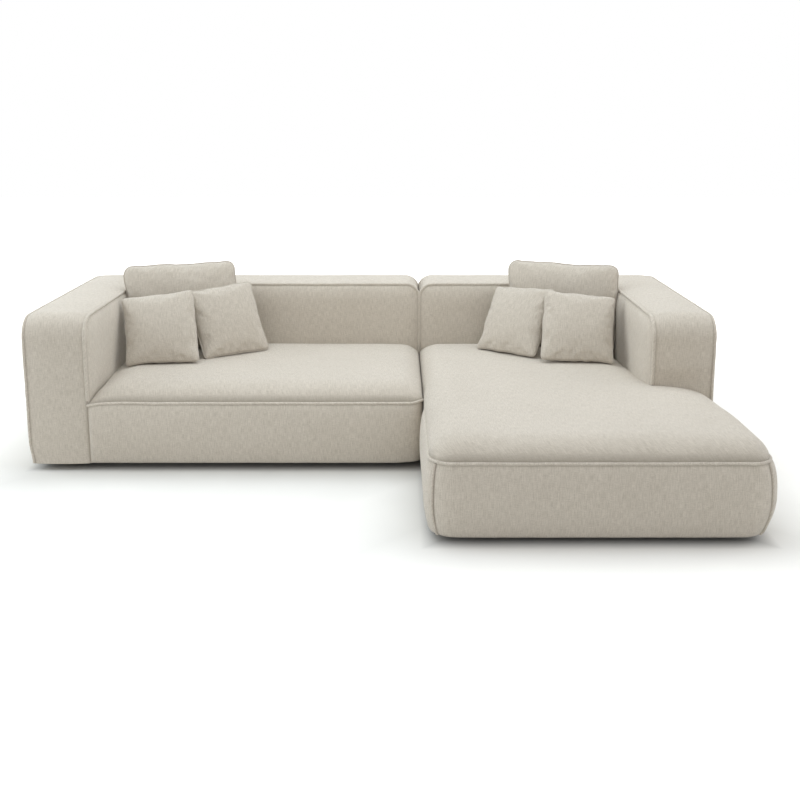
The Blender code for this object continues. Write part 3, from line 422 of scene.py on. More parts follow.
@dataclass
class Nodes:
    """Short ways to add and join the nodes of one tree."""

    tree: bpy.types.NodeTree

    def node(
        self, kind: str, inputs: dict[str | int, object] | None = None, **settings: object
    ) -> bpy.types.Node:
        """Adds a node with its settings and inputs."""
        made = self.tree.nodes.new(kind)
        for name, value in settings.items():
            setattr(made, name, value)
        for name, value in (inputs or {}).items():
            self.feed(made.inputs[name], value)
        return made

    def feed(self, socket: Socket, value: object) -> None:
        """Joins a socket to an output, or sets its own value."""
        if isinstance(value, Socket):
            self.tree.links.new(value, socket)
        else:
            socket.default_value = value

    def threads(self) -> Socket:
        """The place in the cloth, in metres across and along the warp."""
        return self.node("ShaderNodeUVMap", uv_map=THREADS).outputs["UV"]

    def place(self) -> Socket:
        """The place in the piece, in metres."""
        return self.node("ShaderNodeTexCoord").outputs["Object"]

    def axes(self, vector: Socket) -> Sequence[Socket]:
        """A place's X, Y and Z."""
        return self.node("ShaderNodeSeparateXYZ", {"Vector": vector}).outputs

    def stretched(self, vector: Socket, scale: Triple, turn: float = 0.0) -> Socket:
        """A place scaled on each axis, and then turned by degrees about Z."""
        inputs = {"Vector": vector, "Rotation": (0, 0, math.radians(turn)), "Scale": scale}
        return self.node("ShaderNodeMapping", inputs, vector_type="POINT").outputs["Vector"]

    def noise(self, vector: Socket, scale: float, detail: float = 2.0) -> Socket:
        """Smooth noise about 0.5."""
        inputs = {"Vector": vector, "Scale": scale, "Detail": detail}
        return self.node("ShaderNodeTexNoise", inputs, noise_dimensions="3D").outputs[0]

    def sum(self, operation: str, *values: Socket | float) -> Socket:
        """One sum of numbers and outputs."""
        inputs = dict(enumerate(values))
        return self.node("ShaderNodeMath", inputs, operation=operation).outputs["Value"]

    def remap(self, value: Socket, low: float, high: float, start: float, stop: float) -> Socket:
        """Maps low to high onto start to stop, and stays between them."""
        inputs = {"From Min": low, "From Max": high, "To Min": start, "To Max": stop}
        inputs["Value"] = value
        return self.node("ShaderNodeMapRange", inputs, clamp=True).outputs["Result"]

    def blend(self, share: Socket, first: Socket | Colour, second: Socket | Colour) -> Socket:
        """Mixes two colours by a share."""
        inputs = {"Factor": share}
        for name, value in ((6, first), (7, second)):
            inputs[name] = value if isinstance(value, Socket) else (*value, 1.0)
        return self.node("ShaderNodeMix", inputs, data_type="RGBA").outputs[2]

    def bump(
        self, height: Socket, distance: float, strength: float, under: Socket | None = None
    ) -> Socket:
        """A relief of a distance in metres, over another one if that is given."""
        inputs = {"Strength": strength, "Distance": distance, "Height": height}
        if under is not None:
            inputs["Normal"] = under
        return self.node("ShaderNodeBump", inputs).outputs["Normal"]

    def seen_straight(self) -> Socket:
        """1 for what the camera sees, also mirrored or through glass, and 0 for other light."""
        path = self.node("ShaderNodeLightPath").outputs
        seen = self.sum("MAXIMUM", path["Is Camera Ray"], path["Is Glossy Ray"])
        return self.sum("MAXIMUM", seen, path["Is Transmission Ray"])


class Finish(Nodes):
    """One material, with its nodes and its shader."""

    def __init__(self, name: str) -> None:
        """Starts a material.

        Args:
            name: The material's name.
        """
        self.material = bpy.data.materials.new(name)
        self.material.use_nodes = True
        super().__init__(self.material.node_tree)
        self.shader = self.tree.nodes["Principled BSDF"]

    def constant(self, **values: float | tuple[float, ...]) -> None:
        """Sets the shader's own sockets, by names with _ for a space."""
        for name, value in values.items():
            self.shader.inputs[name.replace("_", " ")].default_value = value

    def done(self, colour: Socket, roughness: Socket, normal: Socket | None = None) -> Material:
        """Joins the results to the shader and returns the material."""
        self.feed(self.shader.inputs["Base Color"], colour)
        self.feed(self.shader.inputs["Roughness"], roughness)
        if normal is not None:
            self.feed(self.shader.inputs["Normal"], normal)
        return self.material


@dataclass(frozen=True)
class MelangeCloth:
    """A plain weave of light and dark greige yarn with fine slubs along the warp.

    Sizes are in metres. Each share says how much one part of the pattern moves the mix of the
    two yarns, and each depth is that of one part of the relief.
    """

    name: str = "melange_cloth"
    light: Colour = (0.720, 0.660, 0.572)
    dark: Colour = (0.540, 0.486, 0.408)
    thread: float = 0.0013
    slub_width: float = 0.0031
    slub_length: float = 0.034
    slub_share: float = 0.70
    weft_share: float = 0.50
    fleck_share: float = 0.34
    mottle_share: float = 0.18
    tone_share: float = 0.14
    weave_share: float = 0.16
    # Painted shade along the seams, with some wear: how far the cloth darkens towards each seam.
    worn_share: float = 0.60
    mottle_scale: float = 38.0
    tone_scale: float = 4.5
    turn: float = 0.0
    weave_depth: float = 0.00045
    gather_depth: float = 0.0030
    gather_scale: float = 42.0
    soft_depth: float = 0.0022
    soft_scale: float = 9.0

    def make(self) -> Material:
        """Builds the material."""
        cloth = Finish(self.name)
        place, threads = cloth.place(), cloth.threads()
        if self.turn:
            threads = cloth.stretched(threads, (1, 1, 1), self.turn)
        along = (1 / self.slub_width, 1 / self.slub_length, 1)
        across = (1.6 / self.slub_length, 1.3 / self.slub_width, 1)
        slub = cloth.noise(cloth.stretched(threads, along), 1.0, 3.0)
        weft = cloth.noise(cloth.stretched(threads, across), 1.0, 3.0)
        fleck = cloth.noise(threads, 0.42 / self.thread, 1.0)
        weave = self.weave(cloth, threads)
        share = 0.5
        for pattern, reach, part in (
            (slub, 0.18, self.slub_share),
            (weft, 0.18, self.weft_share),
            (fleck, 0.16, self.fleck_share),
            (cloth.noise(threads, self.mottle_scale, 3.0), 0.18, self.mottle_share),
            (cloth.noise(place, self.tone_scale), 0.20, self.tone_share),
        ):
            level = cloth.remap(pattern, 0.5 - reach, 0.5 + reach, -0.5, 0.5)
            share = cloth.sum("MULTIPLY_ADD", level, part, share)
        share = cloth.sum("MULTIPLY_ADD", weave, self.weave_share, share)
        colour = cloth.blend(cloth.remap(share, 0.0, 1.0, 0.0, 1.0), self.light, self.dark)
        # Painted shade in the grooves beside the seams, with some wear: the colour darkens towards
        # each seam.
        near = self.near_seam(cloth)
        seam_wear_and_shade = cloth.remap(near, 0.58, 1.0, 0.0, self.worn_share)
        colour = cloth.blend(seam_wear_and_shade, colour, tuple(0.72 * part for part in self.dark))
        relief = cloth.sum("MULTIPLY_ADD", slub, 0.9, weave)
        gathers = cloth.sum("MULTIPLY", cloth.noise(place, self.gather_scale, 1.0), near)
        normal = cloth.bump(relief, self.weave_depth, 0.75)
        normal = cloth.bump(gathers, self.gather_depth, 0.55, normal)
        soft = cloth.noise(place, self.soft_scale)
        normal = cloth.bump(soft, self.soft_depth, 0.45, normal)
        cloth.constant(Sheen_Weight=0.36, Sheen_Roughness=0.45, Specular_IOR_Level=0.22)
        return cloth.done(colour, cloth.remap(fleck, 0.3, 0.7, 0.86, 0.98), normal)

    def weave(self, cloth: Finish, threads: Socket) -> Socket:
        """The over and under of warp and weft, from -1 to 1."""
        over = []
        for axis in cloth.axes(threads)[:2]:
            over.append(cloth.sum("SINE", cloth.sum("MULTIPLY", axis, math.pi / self.thread)))
        return cloth.sum("MULTIPLY", *over)

    def near_seam(self, cloth: Finish) -> Socket:
        """1 at a seam, falling to 0 away from it."""
        reader = cloth.node("ShaderNodeAttribute", attribute_name=SEAM)
        return cloth.remap(reader.outputs["Fac"], 0.0, 1.0, 1.0, 0.0)


@dataclass(frozen=True)
class SawnTimber:
    """Planed softwood with its grain along the piece."""

    name: str = "timber"
    light: Colour = (0.74, 0.56, 0.36)
    dark: Colour = (0.52, 0.34, 0.18)
    grain: Triple = (3.6, 60.0, 60.0)
    pores: Triple = (30.0, 900.0, 900.0)
    depth: float = 0.0004

    def make(self) -> Material:
        """Builds the material."""
        wood = Finish(self.name)
        rings = wood.noise(wood.stretched(wood.place(), self.grain), 1.0, 4.0)
        pores = wood.noise(wood.stretched(wood.place(), self.pores), 1.0, 1.0)
        share = wood.sum("MULTIPLY_ADD", pores, 0.35, wood.remap(rings, 0.35, 0.65, 0.0, 0.8))
        colour = wood.blend(share, self.light, self.dark)
        roughness = wood.remap(rings, 0.3, 0.7, 0.55, 0.75)
        return wood.done(colour, roughness, wood.bump(share, self.depth, 0.5))


@dataclass(frozen=True)
class ChipBoard:
    """Pressed wood chips."""

    name: str = "board"
    light: Colour = (0.70, 0.56, 0.38)
    dark: Colour = (0.45, 0.32, 0.19)
    chips: Triple = (90.0, 160.0, 160.0)
    depth: float = 0.0005

    def make(self) -> Material:
        """Builds the material."""
        board = Finish(self.name)
        inputs = {"Vector": board.stretched(board.place(), self.chips)}
        chips = board.node("ShaderNodeTexVoronoi", inputs, feature="F1")
        shade = board.noise(board.place(), 300.0)
        share = board.sum("MULTIPLY", shade, 0.4)
        share = board.sum("MULTIPLY_ADD", chips.outputs["Distance"], 0.6, share)
        colour = board.blend(share, self.light, self.dark)
        roughness = board.remap(shade, 0.3, 0.7, 0.6, 0.8)
        return board.done(colour, roughness, board.bump(share, self.depth, 0.5))


@dataclass(frozen=True)
class ZincSteel:
    """Zinc-plated steel with a faint spangle."""

    name: str = "zinc_steel"
    light: Colour = (0.66, 0.66, 0.65)
    dark: Colour = (0.48, 0.49, 0.50)
    spangle: float = 120.0
    depth: float = 0.0002

    def make(self) -> Material:
        """Builds the material."""
        steel = Finish(self.name)
        spangle = steel.noise(steel.place(), self.spangle, 3.0)
        colour = steel.blend(steel.remap(spangle, 0.35, 0.65, 0, 1), self.light, self.dark)
        roughness = steel.remap(spangle, 0.3, 0.7, 0.28, 0.5)
        steel.constant(Metallic=1.0)
        return steel.done(colour, roughness, steel.bump(spangle, self.depth, 0.4))


@dataclass(frozen=True)
class MouldedPlastic:
    """Black moulded plastic with a fine grain and faint scuffs."""

    name: str = "black_plastic"
    light: Colour = (0.030, 0.030, 0.031)
    dark: Colour = (0.014, 0.014, 0.015)
    grain: float = 1400.0
    depth: float = 0.0002

    def make(self) -> Material:
        """Builds the material."""
        plastic = Finish(self.name)
        grain = plastic.noise(plastic.place(), self.grain)
        scuffs = plastic.noise(plastic.place(), 60.0, 4.0)
        colour = plastic.blend(plastic.remap(scuffs, 0.4, 0.7, 0, 1), self.dark, self.light)
        roughness = plastic.remap(scuffs, 0.3, 0.7, 0.42, 0.62)
        return plastic.done(colour, roughness, plastic.bump(grain, self.depth, 0.4))


@dataclass(frozen=True)
class WovenTape:
    """Dark elastic webbing or a black spun dust cloth, by its rib size in metres."""

    name: str
    light: Colour
    dark: Colour
    rib: float
    depth: float = 0.0004

    def make(self) -> Material:
        """Builds the material."""
        tape = Finish(self.name)
        inputs = {"Vector": tape.place(), "Scale": 0.31 / self.rib, "Distortion": 0.6}
        ribs = tape.node("ShaderNodeTexWave", inputs, bands_direction="DIAGONAL")
        fibre = tape.noise(tape.place(), 900.0)
        share = tape.sum("MULTIPLY", fibre, 0.4)
        share = tape.sum("MULTIPLY_ADD", ribs.outputs["Fac"], 0.6, share)
        colour = tape.blend(share, self.dark, self.light)
        roughness = tape.remap(fibre, 0.3, 0.7, 0.8, 0.95)
        return tape.done(colour, roughness, tape.bump(share, self.depth, 0.6))


# Arm and back


@dataclass
class ArmAndBack:
    """One module's bent wall: inner and outer panels with a boxing strip between two welts.

    Its columns run from the arm's front, round the corner and along the back. Its own x is how
    far in a place lies from the arm's outer side. The welts' radii are the outer's and the
    inner's.
    """

    side: Side
    plan: SofaPlan
    pitch: float = 0.013
    slack: float = 0.0022
    dome_reach: float = 0.10
    front_reach: float = 0.12
    draw: float = 0.012
    draw_reach: float = 0.11
    crease: float = 0.0045
    crease_width: float = 0.10
    welt_radii: tuple[float, float] = (0.0056, 0.0076)
    proud: float = 0.0034

    def __post_init__(self) -> None:
        """Lays out the columns down the wall."""
        plan = self.plan
        radius = plan.inner_corner_radius
        self.bend = plan.seat_depth - radius
        start = plan.arm_thickness + radius
        reach = plan.outer - self.side.value * plan.split - plan.module_gap / 2 - start
        end = reach - plan.back_end_radius
        arm = joined(
            eased(0.0, plan.arm_corner_radius, 12, ease_stop=False),
            spread(plan.arm_corner_radius, self.bend, self.pitch),
        )
        turn = np.linspace(0.0, 1.0, 37)[1:]
        back = joined(spread(0.0, end, self.pitch), eased(end, reach, 10, ease_start=False))[1:]
        self.run = np.concatenate([arm, np.full(len(turn), self.bend), self.bend + back])
        self.turning = np.concatenate([np.full(len(arm), -1.0), turn, np.full(len(back), 2.0)])
        cosine, sine = np.cos(turn * np.pi / 2), np.sin(turn * np.pi / 2)
        inside = (plan.arm_thickness + radius * (1 - cosine), plan.back_face - radius * (1 - sine))
        outside, outward = self.rear_corner(turn, start)
        down, along = plan.seat_front + arm, start + back
        self.inner = legs((plan.arm_thickness, down), inside, (along, plan.back_face))
        self.outer = legs((0.0, down), outside, (along, plan.rear))
        self.facing_in = legs((1.0, 0 * arm), (cosine, -sine), (0 * back, -1.0))
        self.facing_out = legs((-1.0, 0 * arm), outward, (0 * back, 1.0))

    def rear_corner(self, turn: Array, start: float) -> tuple[Pair, Pair]:
        """The outer path round the rear corner, and which way it faces.

        Args:
            turn: How far round each column is, from 0 to 1.
            start: Where the back's straight part starts.

        Returns:
            The x and y of the plan points, and those of their outward normals.
        """
        plan = self.plan
        radius = plan.rear_corner_radius
        first = plan.rear - radius - (plan.back_face - plan.inner_corner_radius)
        arc = radius * np.pi / 2
        reach = turn * (first + arc + start - radius)
        angle = np.clip((reach - first) / radius, 0.0, np.pi / 2)
        x = radius * (1 - np.cos(angle)) + np.clip(reach - first - arc, 0.0, None)
        y = plan.rear - radius * (1 - np.sin(angle)) - np.clip(first - reach, 0.0, None)
        return (x, y), (-np.cos(angle), np.sin(angle))

    def top(self) -> tuple[Array, Array, Array]:
        """The seam's height in each column, and how far it faces forward and up."""
        plan = self.plan
        height = np.full(len(self.run), plan.wall_seam)
        forward, up = np.zeros(len(self.run)), np.ones(len(self.run))
        left = self.run[-1] - self.run
        for reach, radius, ahead in (
            (self.run, plan.arm_corner_radius, 1.0),
            (left, plan.back_end_radius, 0.0),
        ):
            near = reach < radius
            angle = np.arccos(1 - reach[near] / radius)
            height[near] -= radius * (1 - np.sin(angle))
            forward[near], up[near] = ahead * np.cos(angle), np.sin(angle)
        return height, forward, up

    def heights(self) -> Array:
        """Row heights, rows by columns, from the underside to the seam."""
        part = joined(
            eased(0.0, 0.2, 9, ease_stop=False),
            np.linspace(0.2, 0.8, 28),
            eased(0.8, 1.0, 13, ease_start=False),
        )
        low = self.plan.underside
        return low + part[:, None] * (self.top()[0] - low)[None, :]

    def drawn_in(self, z: Array) -> Array:
        """How far the outer cover draws in towards the underside."""
        low = self.plan.underside
        return self.draw * (1 - smoothstep(z, low, low + self.draw_reach)) ** 1.4

    def world(self, x: Array | float, y: Array | float, z: Array | float) -> Array:
        """Points of this module in the sofa's frame."""
        return np.stack(np.broadcast_arrays(self.side.value * (self.plan.outer - x), y, z), -1)

    def panel(self, skin: Skin, inner: bool) -> Array:
        """Adds the inner or the outer panel.

        Args:
            skin: What it goes into.
            inner: Which of the two it is.

        Returns:
            The panel's grid of points.
        """
        plan = self.plan
        z = self.heights()
        high = self.top()[0][None, :]
        run = self.run[None, :]
        left = run[:, -1:] - run
        full = swell((high - z) / self.dome_reach)
        full = full * np.where(
            run <= self.bend, swell(run / self.front_reach), swell(left / self.dome_reach)
        )
        edge = np.minimum(high - z, np.minimum(run, left))
        if inner:
            line, facing = self.inner, self.facing_in
            full = full * smoothstep(z, plan.dome_foot - 0.165, plan.dome_foot - 0.065)
            full = full * swell(np.abs(run - self.bend) / self.dome_reach)
            out = full * plan.panel_dome
        else:
            line, facing = self.outer, self.facing_out
            full = full * swell((z - plan.underside) / self.dome_reach)
            out = full * plan.side_bulge - self.drawn_in(z)
            edge = np.minimum(edge, z - plan.underside)

        def raised() -> Array:
            """The panel's points, as far out from their line as they are now."""
            return self.world(line[:, 0] + facing[:, 0] * out, line[:, 1] + facing[:, 1] * out, z)

        points = raised()
        out = out + self.slack * full * waves(points, (5.0, 11.0), (13.0, 5.0))
        points = raised()
        skin.add(points, np.stack([lengths(points, 1), z], -1), edge)
        return points

    def strip_lines(self) -> tuple[Array, Array, Array, Array, Array]:
        """The boxing strip's outer and inner edges with its forward, up and turning values."""
        height, forward, up = self.top()
        z = self.heights()
        up_and_down = np.concatenate([z[:, 0], height[1:], z[::-1, -1][1:]])
        last = len(height) - 1
        ends = [0] * len(z), range(1, last), [last] * len(z)
        columns = np.concatenate([np.array(end, int) for end in ends])
        way = self.outer[columns]
        way = way - self.facing_out[columns] * self.drawn_in(up_and_down)[:, None]
        outer = self.world(way[:, 0], way[:, 1], up_and_down)
        inner = self.world(self.inner[columns, 0], self.inner[columns, 1], up_and_down)
        return outer, inner, forward[columns], up[columns], self.turning[columns]

    def strip(self, skin: Skin) -> None:
        """Adds the boxing strip: the arm's front, the top and the end beside the other module."""
        plan = self.plan
        outer, inner, forward, up, turning = self.strip_lines()
        part = eased(0.0, 1.0, STRIP_CELLS)[None, :]
        points = outer[:, None, :] * (1 - part[..., None]) + inner[:, None, :] * part[..., None]
        if self.side is Side.RIGHT:
            foot = plan.dome_foot
            forward = forward * smoothstep(outer[:, 2], foot - 0.03, foot + 0.05)
        forward, up = forward[:, None], up[:, None]
        arch = bow(part)
        fold = bell(turning - 0.5, self.crease_width)[:, None] * smoothstep(part, 0.35, 0.95)
        points[..., 1] -= plan.arm_front_crown * forward * arch
        points[..., 2] += (plan.wall_crown * up - self.crease * fold) * arch
        soft = self.slack * arch * waves(points, (5.5, 2.0), (14.0, 9.0))
        points[..., 2] += soft * up
        points[..., 1] -= soft * forward
        across = lengths(points, 1)
        middle = lengths(points, 0)[:, STRIP_CELLS // 2, None]
        edge = np.minimum(across, across[:, -1:] - across)
        skin.add(points, np.stack(np.broadcast_arrays(across, middle), -1), edge)

    def hem(self, skin: Skin, outer: Array) -> None:
        """Adds the cloth turned in under the frame."""
        plan = self.plan
        ahead = plan.hem if self.side is Side.LEFT else 0.0
        x = np.maximum(self.outer[:, 0], plan.hem)
        y = np.clip(self.outer[:, 1], plan.seat_front + ahead, plan.rear - plan.hem)
        grids = [(outer[0], self.world(x, y, plan.underside))]
        if self.side is Side.LEFT:
            part = eased(0.0, 1.0, STRIP_CELLS)
            x = plan.arm_thickness * part
            y = plan.seat_front - plan.arm_front_crown * bow(part)
            turned = self.world(np.maximum(x, plan.hem), y.max() + plan.hem, plan.underside)
            grids.append((self.world(x, y, plan.underside), turned))
        for lines in grids:
            grid = np.stack(lines)
            skin.add(grid, laid(grid))

    def welt_path(self, inner: bool) -> Array:
        """The middle line of the outer or inner welt, a little proud of its seam."""
        outer_line, inner_line, forward, up, _ = self.strip_lines()
        line = inner_line if inner else outer_line
        columns = np.arange(len(line)) - len(self.heights()) + 1
        columns = np.clip(columns, 0, len(self.run) - 1)
        facing = (self.facing_in if inner else self.facing_out)[columns]
        out = np.stack([-self.side.value * facing[:, 0], facing[:, 1] - forward, up], 1)
        return line + self.proud * unit(out)

    def build(self, cloth: Material, cord: Material) -> list[Item]:
        """Makes the cover and its two welts.

        Args:
            cloth: The cover's finish.
            cord: The welts' finish.

        Returns:
            The pieces.
        """
        word = self.side.word
        skin = Skin(f"{word}_arm_and_back")
        outer = self.panel(skin, inner=False)
        self.panel(skin, inner=True)
        self.strip(skin)
        self.hem(skin, outer)
        cover = skin.build(cloth)
        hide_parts(f"{word}_wall_cover", f"{word}_arm_foam", f"{word}_back_foam")
        pieces = [cover]
        for inner in (False, True):
            path = self.welt_path(inner)
            showing = np.nonzero(path[:, 2] > self.lowest_welt(inner))[0]
            last = showing[-1] + 1 if inner else len(path)
            name = f"{word}_{'inner' if inner else 'outer'}_welt"
            welt = Welt(radius=self.welt_radii[inner], seed=3.0 + self.side.value)
            pieces.append(welt.build(name, path[showing[0] : last], cord))
        for piece in pieces:
            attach(piece, "sofa")
        return pieces

    def lowest_welt(self, inner: bool) -> float:
        """The height down to which a welt runs."""
        if not inner:
            return self.plan.underside + 0.001
        seam = self.plan.left_seam if self.side is Side.LEFT else self.plan.dome_foot - 0.05
        return seam + 0.002


# Seats


@dataclass
class SeatPad:
    """A crowned top panel with a boxing band that hangs from its welt.

    Attributes:
        xs: Where the grid's columns lie.
        ys: Where its rows lie, from the front.
        seam: The height of the seam round the top.
        notch: The corner of the arm that the seat turns round, if it does.
        rounded: The plan's rounded corners, each with its radius.
        free: How far each point of the edge may swell.
        welted: How full the welt is at each point of the edge.
        corner_seams: The places of the sewn corners.
        replaced: The frame's nodes that it stands for.
        slack: How deep the top's slow waves are.
        tuck: How far the band's rounded corners draw in at the hem.
        droop: How far the edge beside the arm hangs.
        curl: How far the edge beside the split rises.
        held: The share of the crown that the seat keeps right at the arm.
        arm_reach: How far from the arm it has all of the crown.
        fall: The share of the crown that it loses at the back.
        fall_reach: How far from the back it has all of the crown.
        plain_from: The y from which the left edge has no welt.
        held_gain: What the share held at an arm with no notch gains towards the back.
        held_fade: How far behind a notch nothing is held any more.
        widening: What the shoulder gains in width in front of a notch, as a share.
        widening_reach: How far ahead of it all of that is gone again.
        sag: How deep the seam's waves are.
        hem_draw: How far the band draws in at the hem.
        corner_reach: How far from a rounded corner its own tuck ends.
        pull: How far a sewn corner draws the band in.
        welt_rise: How far above its seam the welt lies.
        corner_welt: The cord down each sewn corner.
    """

    name: str
    plan: SofaPlan
    xs: Array
    ys: Array
    seam: float
    notch: tuple[float, float] | None
    rounded: dict[tuple[float, float], float]
    free: EdgeShare
    welted: EdgeShare
    corner_seams: list[tuple[float, float]]
    replaced: tuple[str, ...]
    slack: float = 0.0030
    tuck: float = 0.006
    droop: float = 0.0
    curl: float = 0.0
    held: float = 0.18
    arm_reach: float = 0.168
    fall: float = 0.0
    fall_reach: float = 0.15
    plain_from: float = 9.0
    held_gain: float = 0.27
    held_fade: float = 0.75
    widening: float = 1.5
    widening_reach: float = 0.45
    sag: float = 0.0016
    hem_draw: float = 0.006
    corner_reach: float = 0.085
    pull: float = 0.003
    welt_rise: float = 0.0016
    corner_welt: Welt = Welt(radius=0.0054, wander=0.0006)

    def heights(self, x: Array, y: Array) -> Array:
        """The top panel's height over its seam, as a share of the crown."""
        reach = self.plan.shoulder
        left, right = x - self.xs[0], self.xs[-1] - x
        height = swell((y - self.ys[0]) / (reach * 1.15))
        height = height * (1 - self.fall * (1 - swell((self.ys[-1] - y) / self.fall_reach)))
        if self.notch:
            aside, ahead = self.notch[0] - x, np.maximum(self.notch[1] - y, 0)
            near = np.hypot(np.maximum(aside, 0), ahead)
            held = self.held * np.clip(1 - (y - self.notch[1]) / self.held_fade, 0.0, 1.0)
            wide = self.widening * (1 - smoothstep(ahead, 0.0, self.widening_reach))
            wide = reach * (1 + wide)
            beside = (ahead <= 0) & (aside >= 0)
            height = height * swell(left / reach) * np.where(beside, 1.0, swell(right / wide))
        else:
            near = left
            held = self.held + self.held_gain * smoothstep(y, -0.05, 0.30)
            height = height * swell(right / reach)
        return height * (held + (1 - held) * slope(near / self.arm_reach))

    def rounded_plan(self, x: Array, y: Array) -> Pair:
        """Draws the plan's corners in to their rounding, and returns the new places."""
        x, y = x.copy(), y.copy()
        for (cx, cy), radius in self.rounded.items():
            sx = 1.0 if cx > self.xs.mean() else -1.0
            sy = 1.0 if cy > self.ys[0] + 0.02 else -1.0
            u = 1 - sx * (cx - x) / radius
            v = 1 - sy * (cy - y) / radius
            here = (u > 0) & (v > 0) & (u <= 1.0001) & (v <= 1.0001)
            round_u = u * np.sqrt(np.clip(1 - v * v / 2, 0, 1))
            round_v = v * np.sqrt(np.clip(1 - u * u / 2, 0, 1))
            x = np.where(here, cx - sx * radius * (1 - round_u), x)
            y = np.where(here, cy - sy * radius * (1 - round_v), y)
        return x, y

    def boundary(self) -> list[tuple[int, int]]:
        """Grid keys round the edge, from the front left corner and to the right."""
        last_x, last_y = len(self.xs) - 1, len(self.ys) - 1
        turn_x, turn_y = last_x, 0
        if self.notch:
            turn_x = int(np.argmin(np.abs(self.xs - self.notch[0])))
            turn_y = int(np.argmin(np.abs(self.ys - self.notch[1])))
        loop = [(i, 0) for i in range(last_x)]
        loop += [(last_x, j) for j in range(turn_y)]
        loop += [(i, turn_y) for i in range(last_x, turn_x, -1)]
        loop += [(turn_x, j) for j in range(turn_y, last_y)]
        loop += [(i, last_y) for i in range(turn_x, 0, -1)]
        return loop + [(0, j) for j in range(last_y, 0, -1)]

    def top(self, skin: Skin) -> Array:
        """Adds the top panel and returns its grid of points."""
        raw_x, raw_y = np.meshgrid(self.xs, self.ys)
        share = self.heights(raw_x, raw_y)
        x, y = self.rounded_plan(raw_x, raw_y)
        z = self.seam + self.plan.seat_crown * share
        points = np.stack([x, y, z], -1)
        sag = self.sag * ripple(points * (1, 1, 0), 6.0, 2.0)
        sag = sag - self.droop * bell(raw_x - self.xs[0], 0.045)
        sag = sag + self.curl * bell(self.xs[-1] - raw_x, 0.035)
        points[..., 2] += sag * (1 - smoothstep(share, 0.0, 0.6))
        wave = waves(points, (3.2, 21.0), (8.5, 4.0), 0.45)
        points[..., 2] += self.slack * wave * smoothstep(share, 0.55, 1.0)
        keep = np.ones((len(self.ys) - 1, len(self.xs) - 1), bool)
        if self.notch:
            right = self.xs[:-1] > self.notch[0] - 1e-6
            behind = self.ys[:-1] > self.notch[1] - 1e-6
            keep = ~(behind[:, None] & right[None, :])
        left = raw_x - self.xs[0] + self.plain(raw_y)
        edge = np.minimum(raw_y - self.ys[0], np.minimum(left, self.xs[-1] - raw_x))
        skin.add(points, laid(points), np.abs(edge), keep)
        return points

    def plain(self, y: Array) -> Array:
        """What the left edge's distance from a seam gains where it has no welt."""
        return 0.05 * smoothstep(y, self.plain_from - 0.04, self.plain_from + 0.08)

    def ring(self, points: Array) -> Pair:
        """The seam's points round the edge and their outward plan normals."""
        loop = np.array([points[j, i] for i, j in self.boundary()])
        ahead = unit((np.roll(loop, -1, axis=0) - np.roll(loop, 1, axis=0))[:, :2])
        return loop, np.stack([ahead[:, 1], -ahead[:, 0]], 1)

    def band(self, skin: Skin, points: Array) -> Pair:
        """Adds the band below the welt and the hem under it.

        Args:
            skin: What they go into.
            points: The top panel's grid.

        Returns:
            The seam's points and outward normals.
        """
        loop, normals = self.ring(points)
        free = self.free(loop[:, :2], normals)
        part = eased(0.0, 1.0, BAND_CELLS)
        corner = self.from_corners(loop, self.corner_seams)
        grid = np.array([self.row(loop, normals, free, share) for share in part])
        grid[..., :2] -= normals * (self.pull * bell(corner, 0.007))[:, None]
        give = 0.8 * self.slack * waves(grid, (4.5, 31.0), (12.0, 8.0))
        give = give * bow(part)[:, None] * free[None, :]
        grid[..., :2] += normals * give[..., None]
        plain = self.plain(loop[:, 1]) * (normals[:, 0] < -0.5)

        # The last column lies on the first, and closes the band.
        last = np.append(np.arange(len(loop)), 0)
        grid = grid[:, last]
        steps = np.linalg.norm(np.diff(loop[last, :2], axis=0), axis=1)
        steps[-1] = 0.01
        along = np.concatenate([[0.0], np.cumsum(steps)])
        depth = lengths(grid, 0)
        edge = np.minimum(0.7 * depth + plain[last], depth[-1:] - depth)
        edge = np.minimum(edge, corner[last])
        skin.add(grid, np.stack(np.broadcast_arrays(along, -depth), -1), edge)
        hem, inset = self.plan.hem, grid[-1].copy()
        inset[:, :2] -= normals[last] * hem
        inset[:, 0] = np.clip(inset[:, 0], self.xs[0] + hem, self.xs[-1] - hem)
        inset[:, 1] = np.maximum(inset[:, 1], self.ys[0] + hem)
        strong = free[last] > 0.02
        turned = np.stack([grid[-1], inset])
        skin.add(turned, laid(turned), None, (strong[:-1] & strong[1:])[None, :])
        return loop, normals

    def from_corners(self, loop: Array, places: list[tuple[float, float]]) -> Array:
        """How far each point round the edge is from the nearest of some corners."""
        reach = np.full(len(loop), 1.0)
        for place in places:
            reach = np.minimum(reach, np.linalg.norm(loop[:, :2] - np.array(place), axis=1))
        return reach

    def row(
        self, loop: Array, normals: Array, free: Array, share: float, proud: float = 0.0
    ) -> Array:
        """The band's line at one level.

        Args:
            loop: The seam's points.
            normals: Their outward plan normals.
            free: How far each point may swell, from 0 to 1.
            share: The level, from 0 at the seam to 1 at the underside.
            proud: How far the line stands out from the band.

        Returns:
            One point for each point of the seam.
        """
        top = np.minimum(loop[:, 2], self.seam + self.plan.seat_crown)
        near = bell(self.from_corners(loop, list(self.rounded)), self.corner_reach)
        near = near * (free > 0.02)
        tuck = float(smoothstep(share, 0.50, 1.0)) ** 1.4
        out = self.plan.front_bulge * bow(share) * free
        out = out - (self.hem_draw * free + self.tuck * near) * tuck + proud
        z = top - (top - self.plan.underside) * share + 0.002 * near * tuck
        return np.concatenate([loop[:, :2] + normals * out[:, None], z[:, None]], 1)

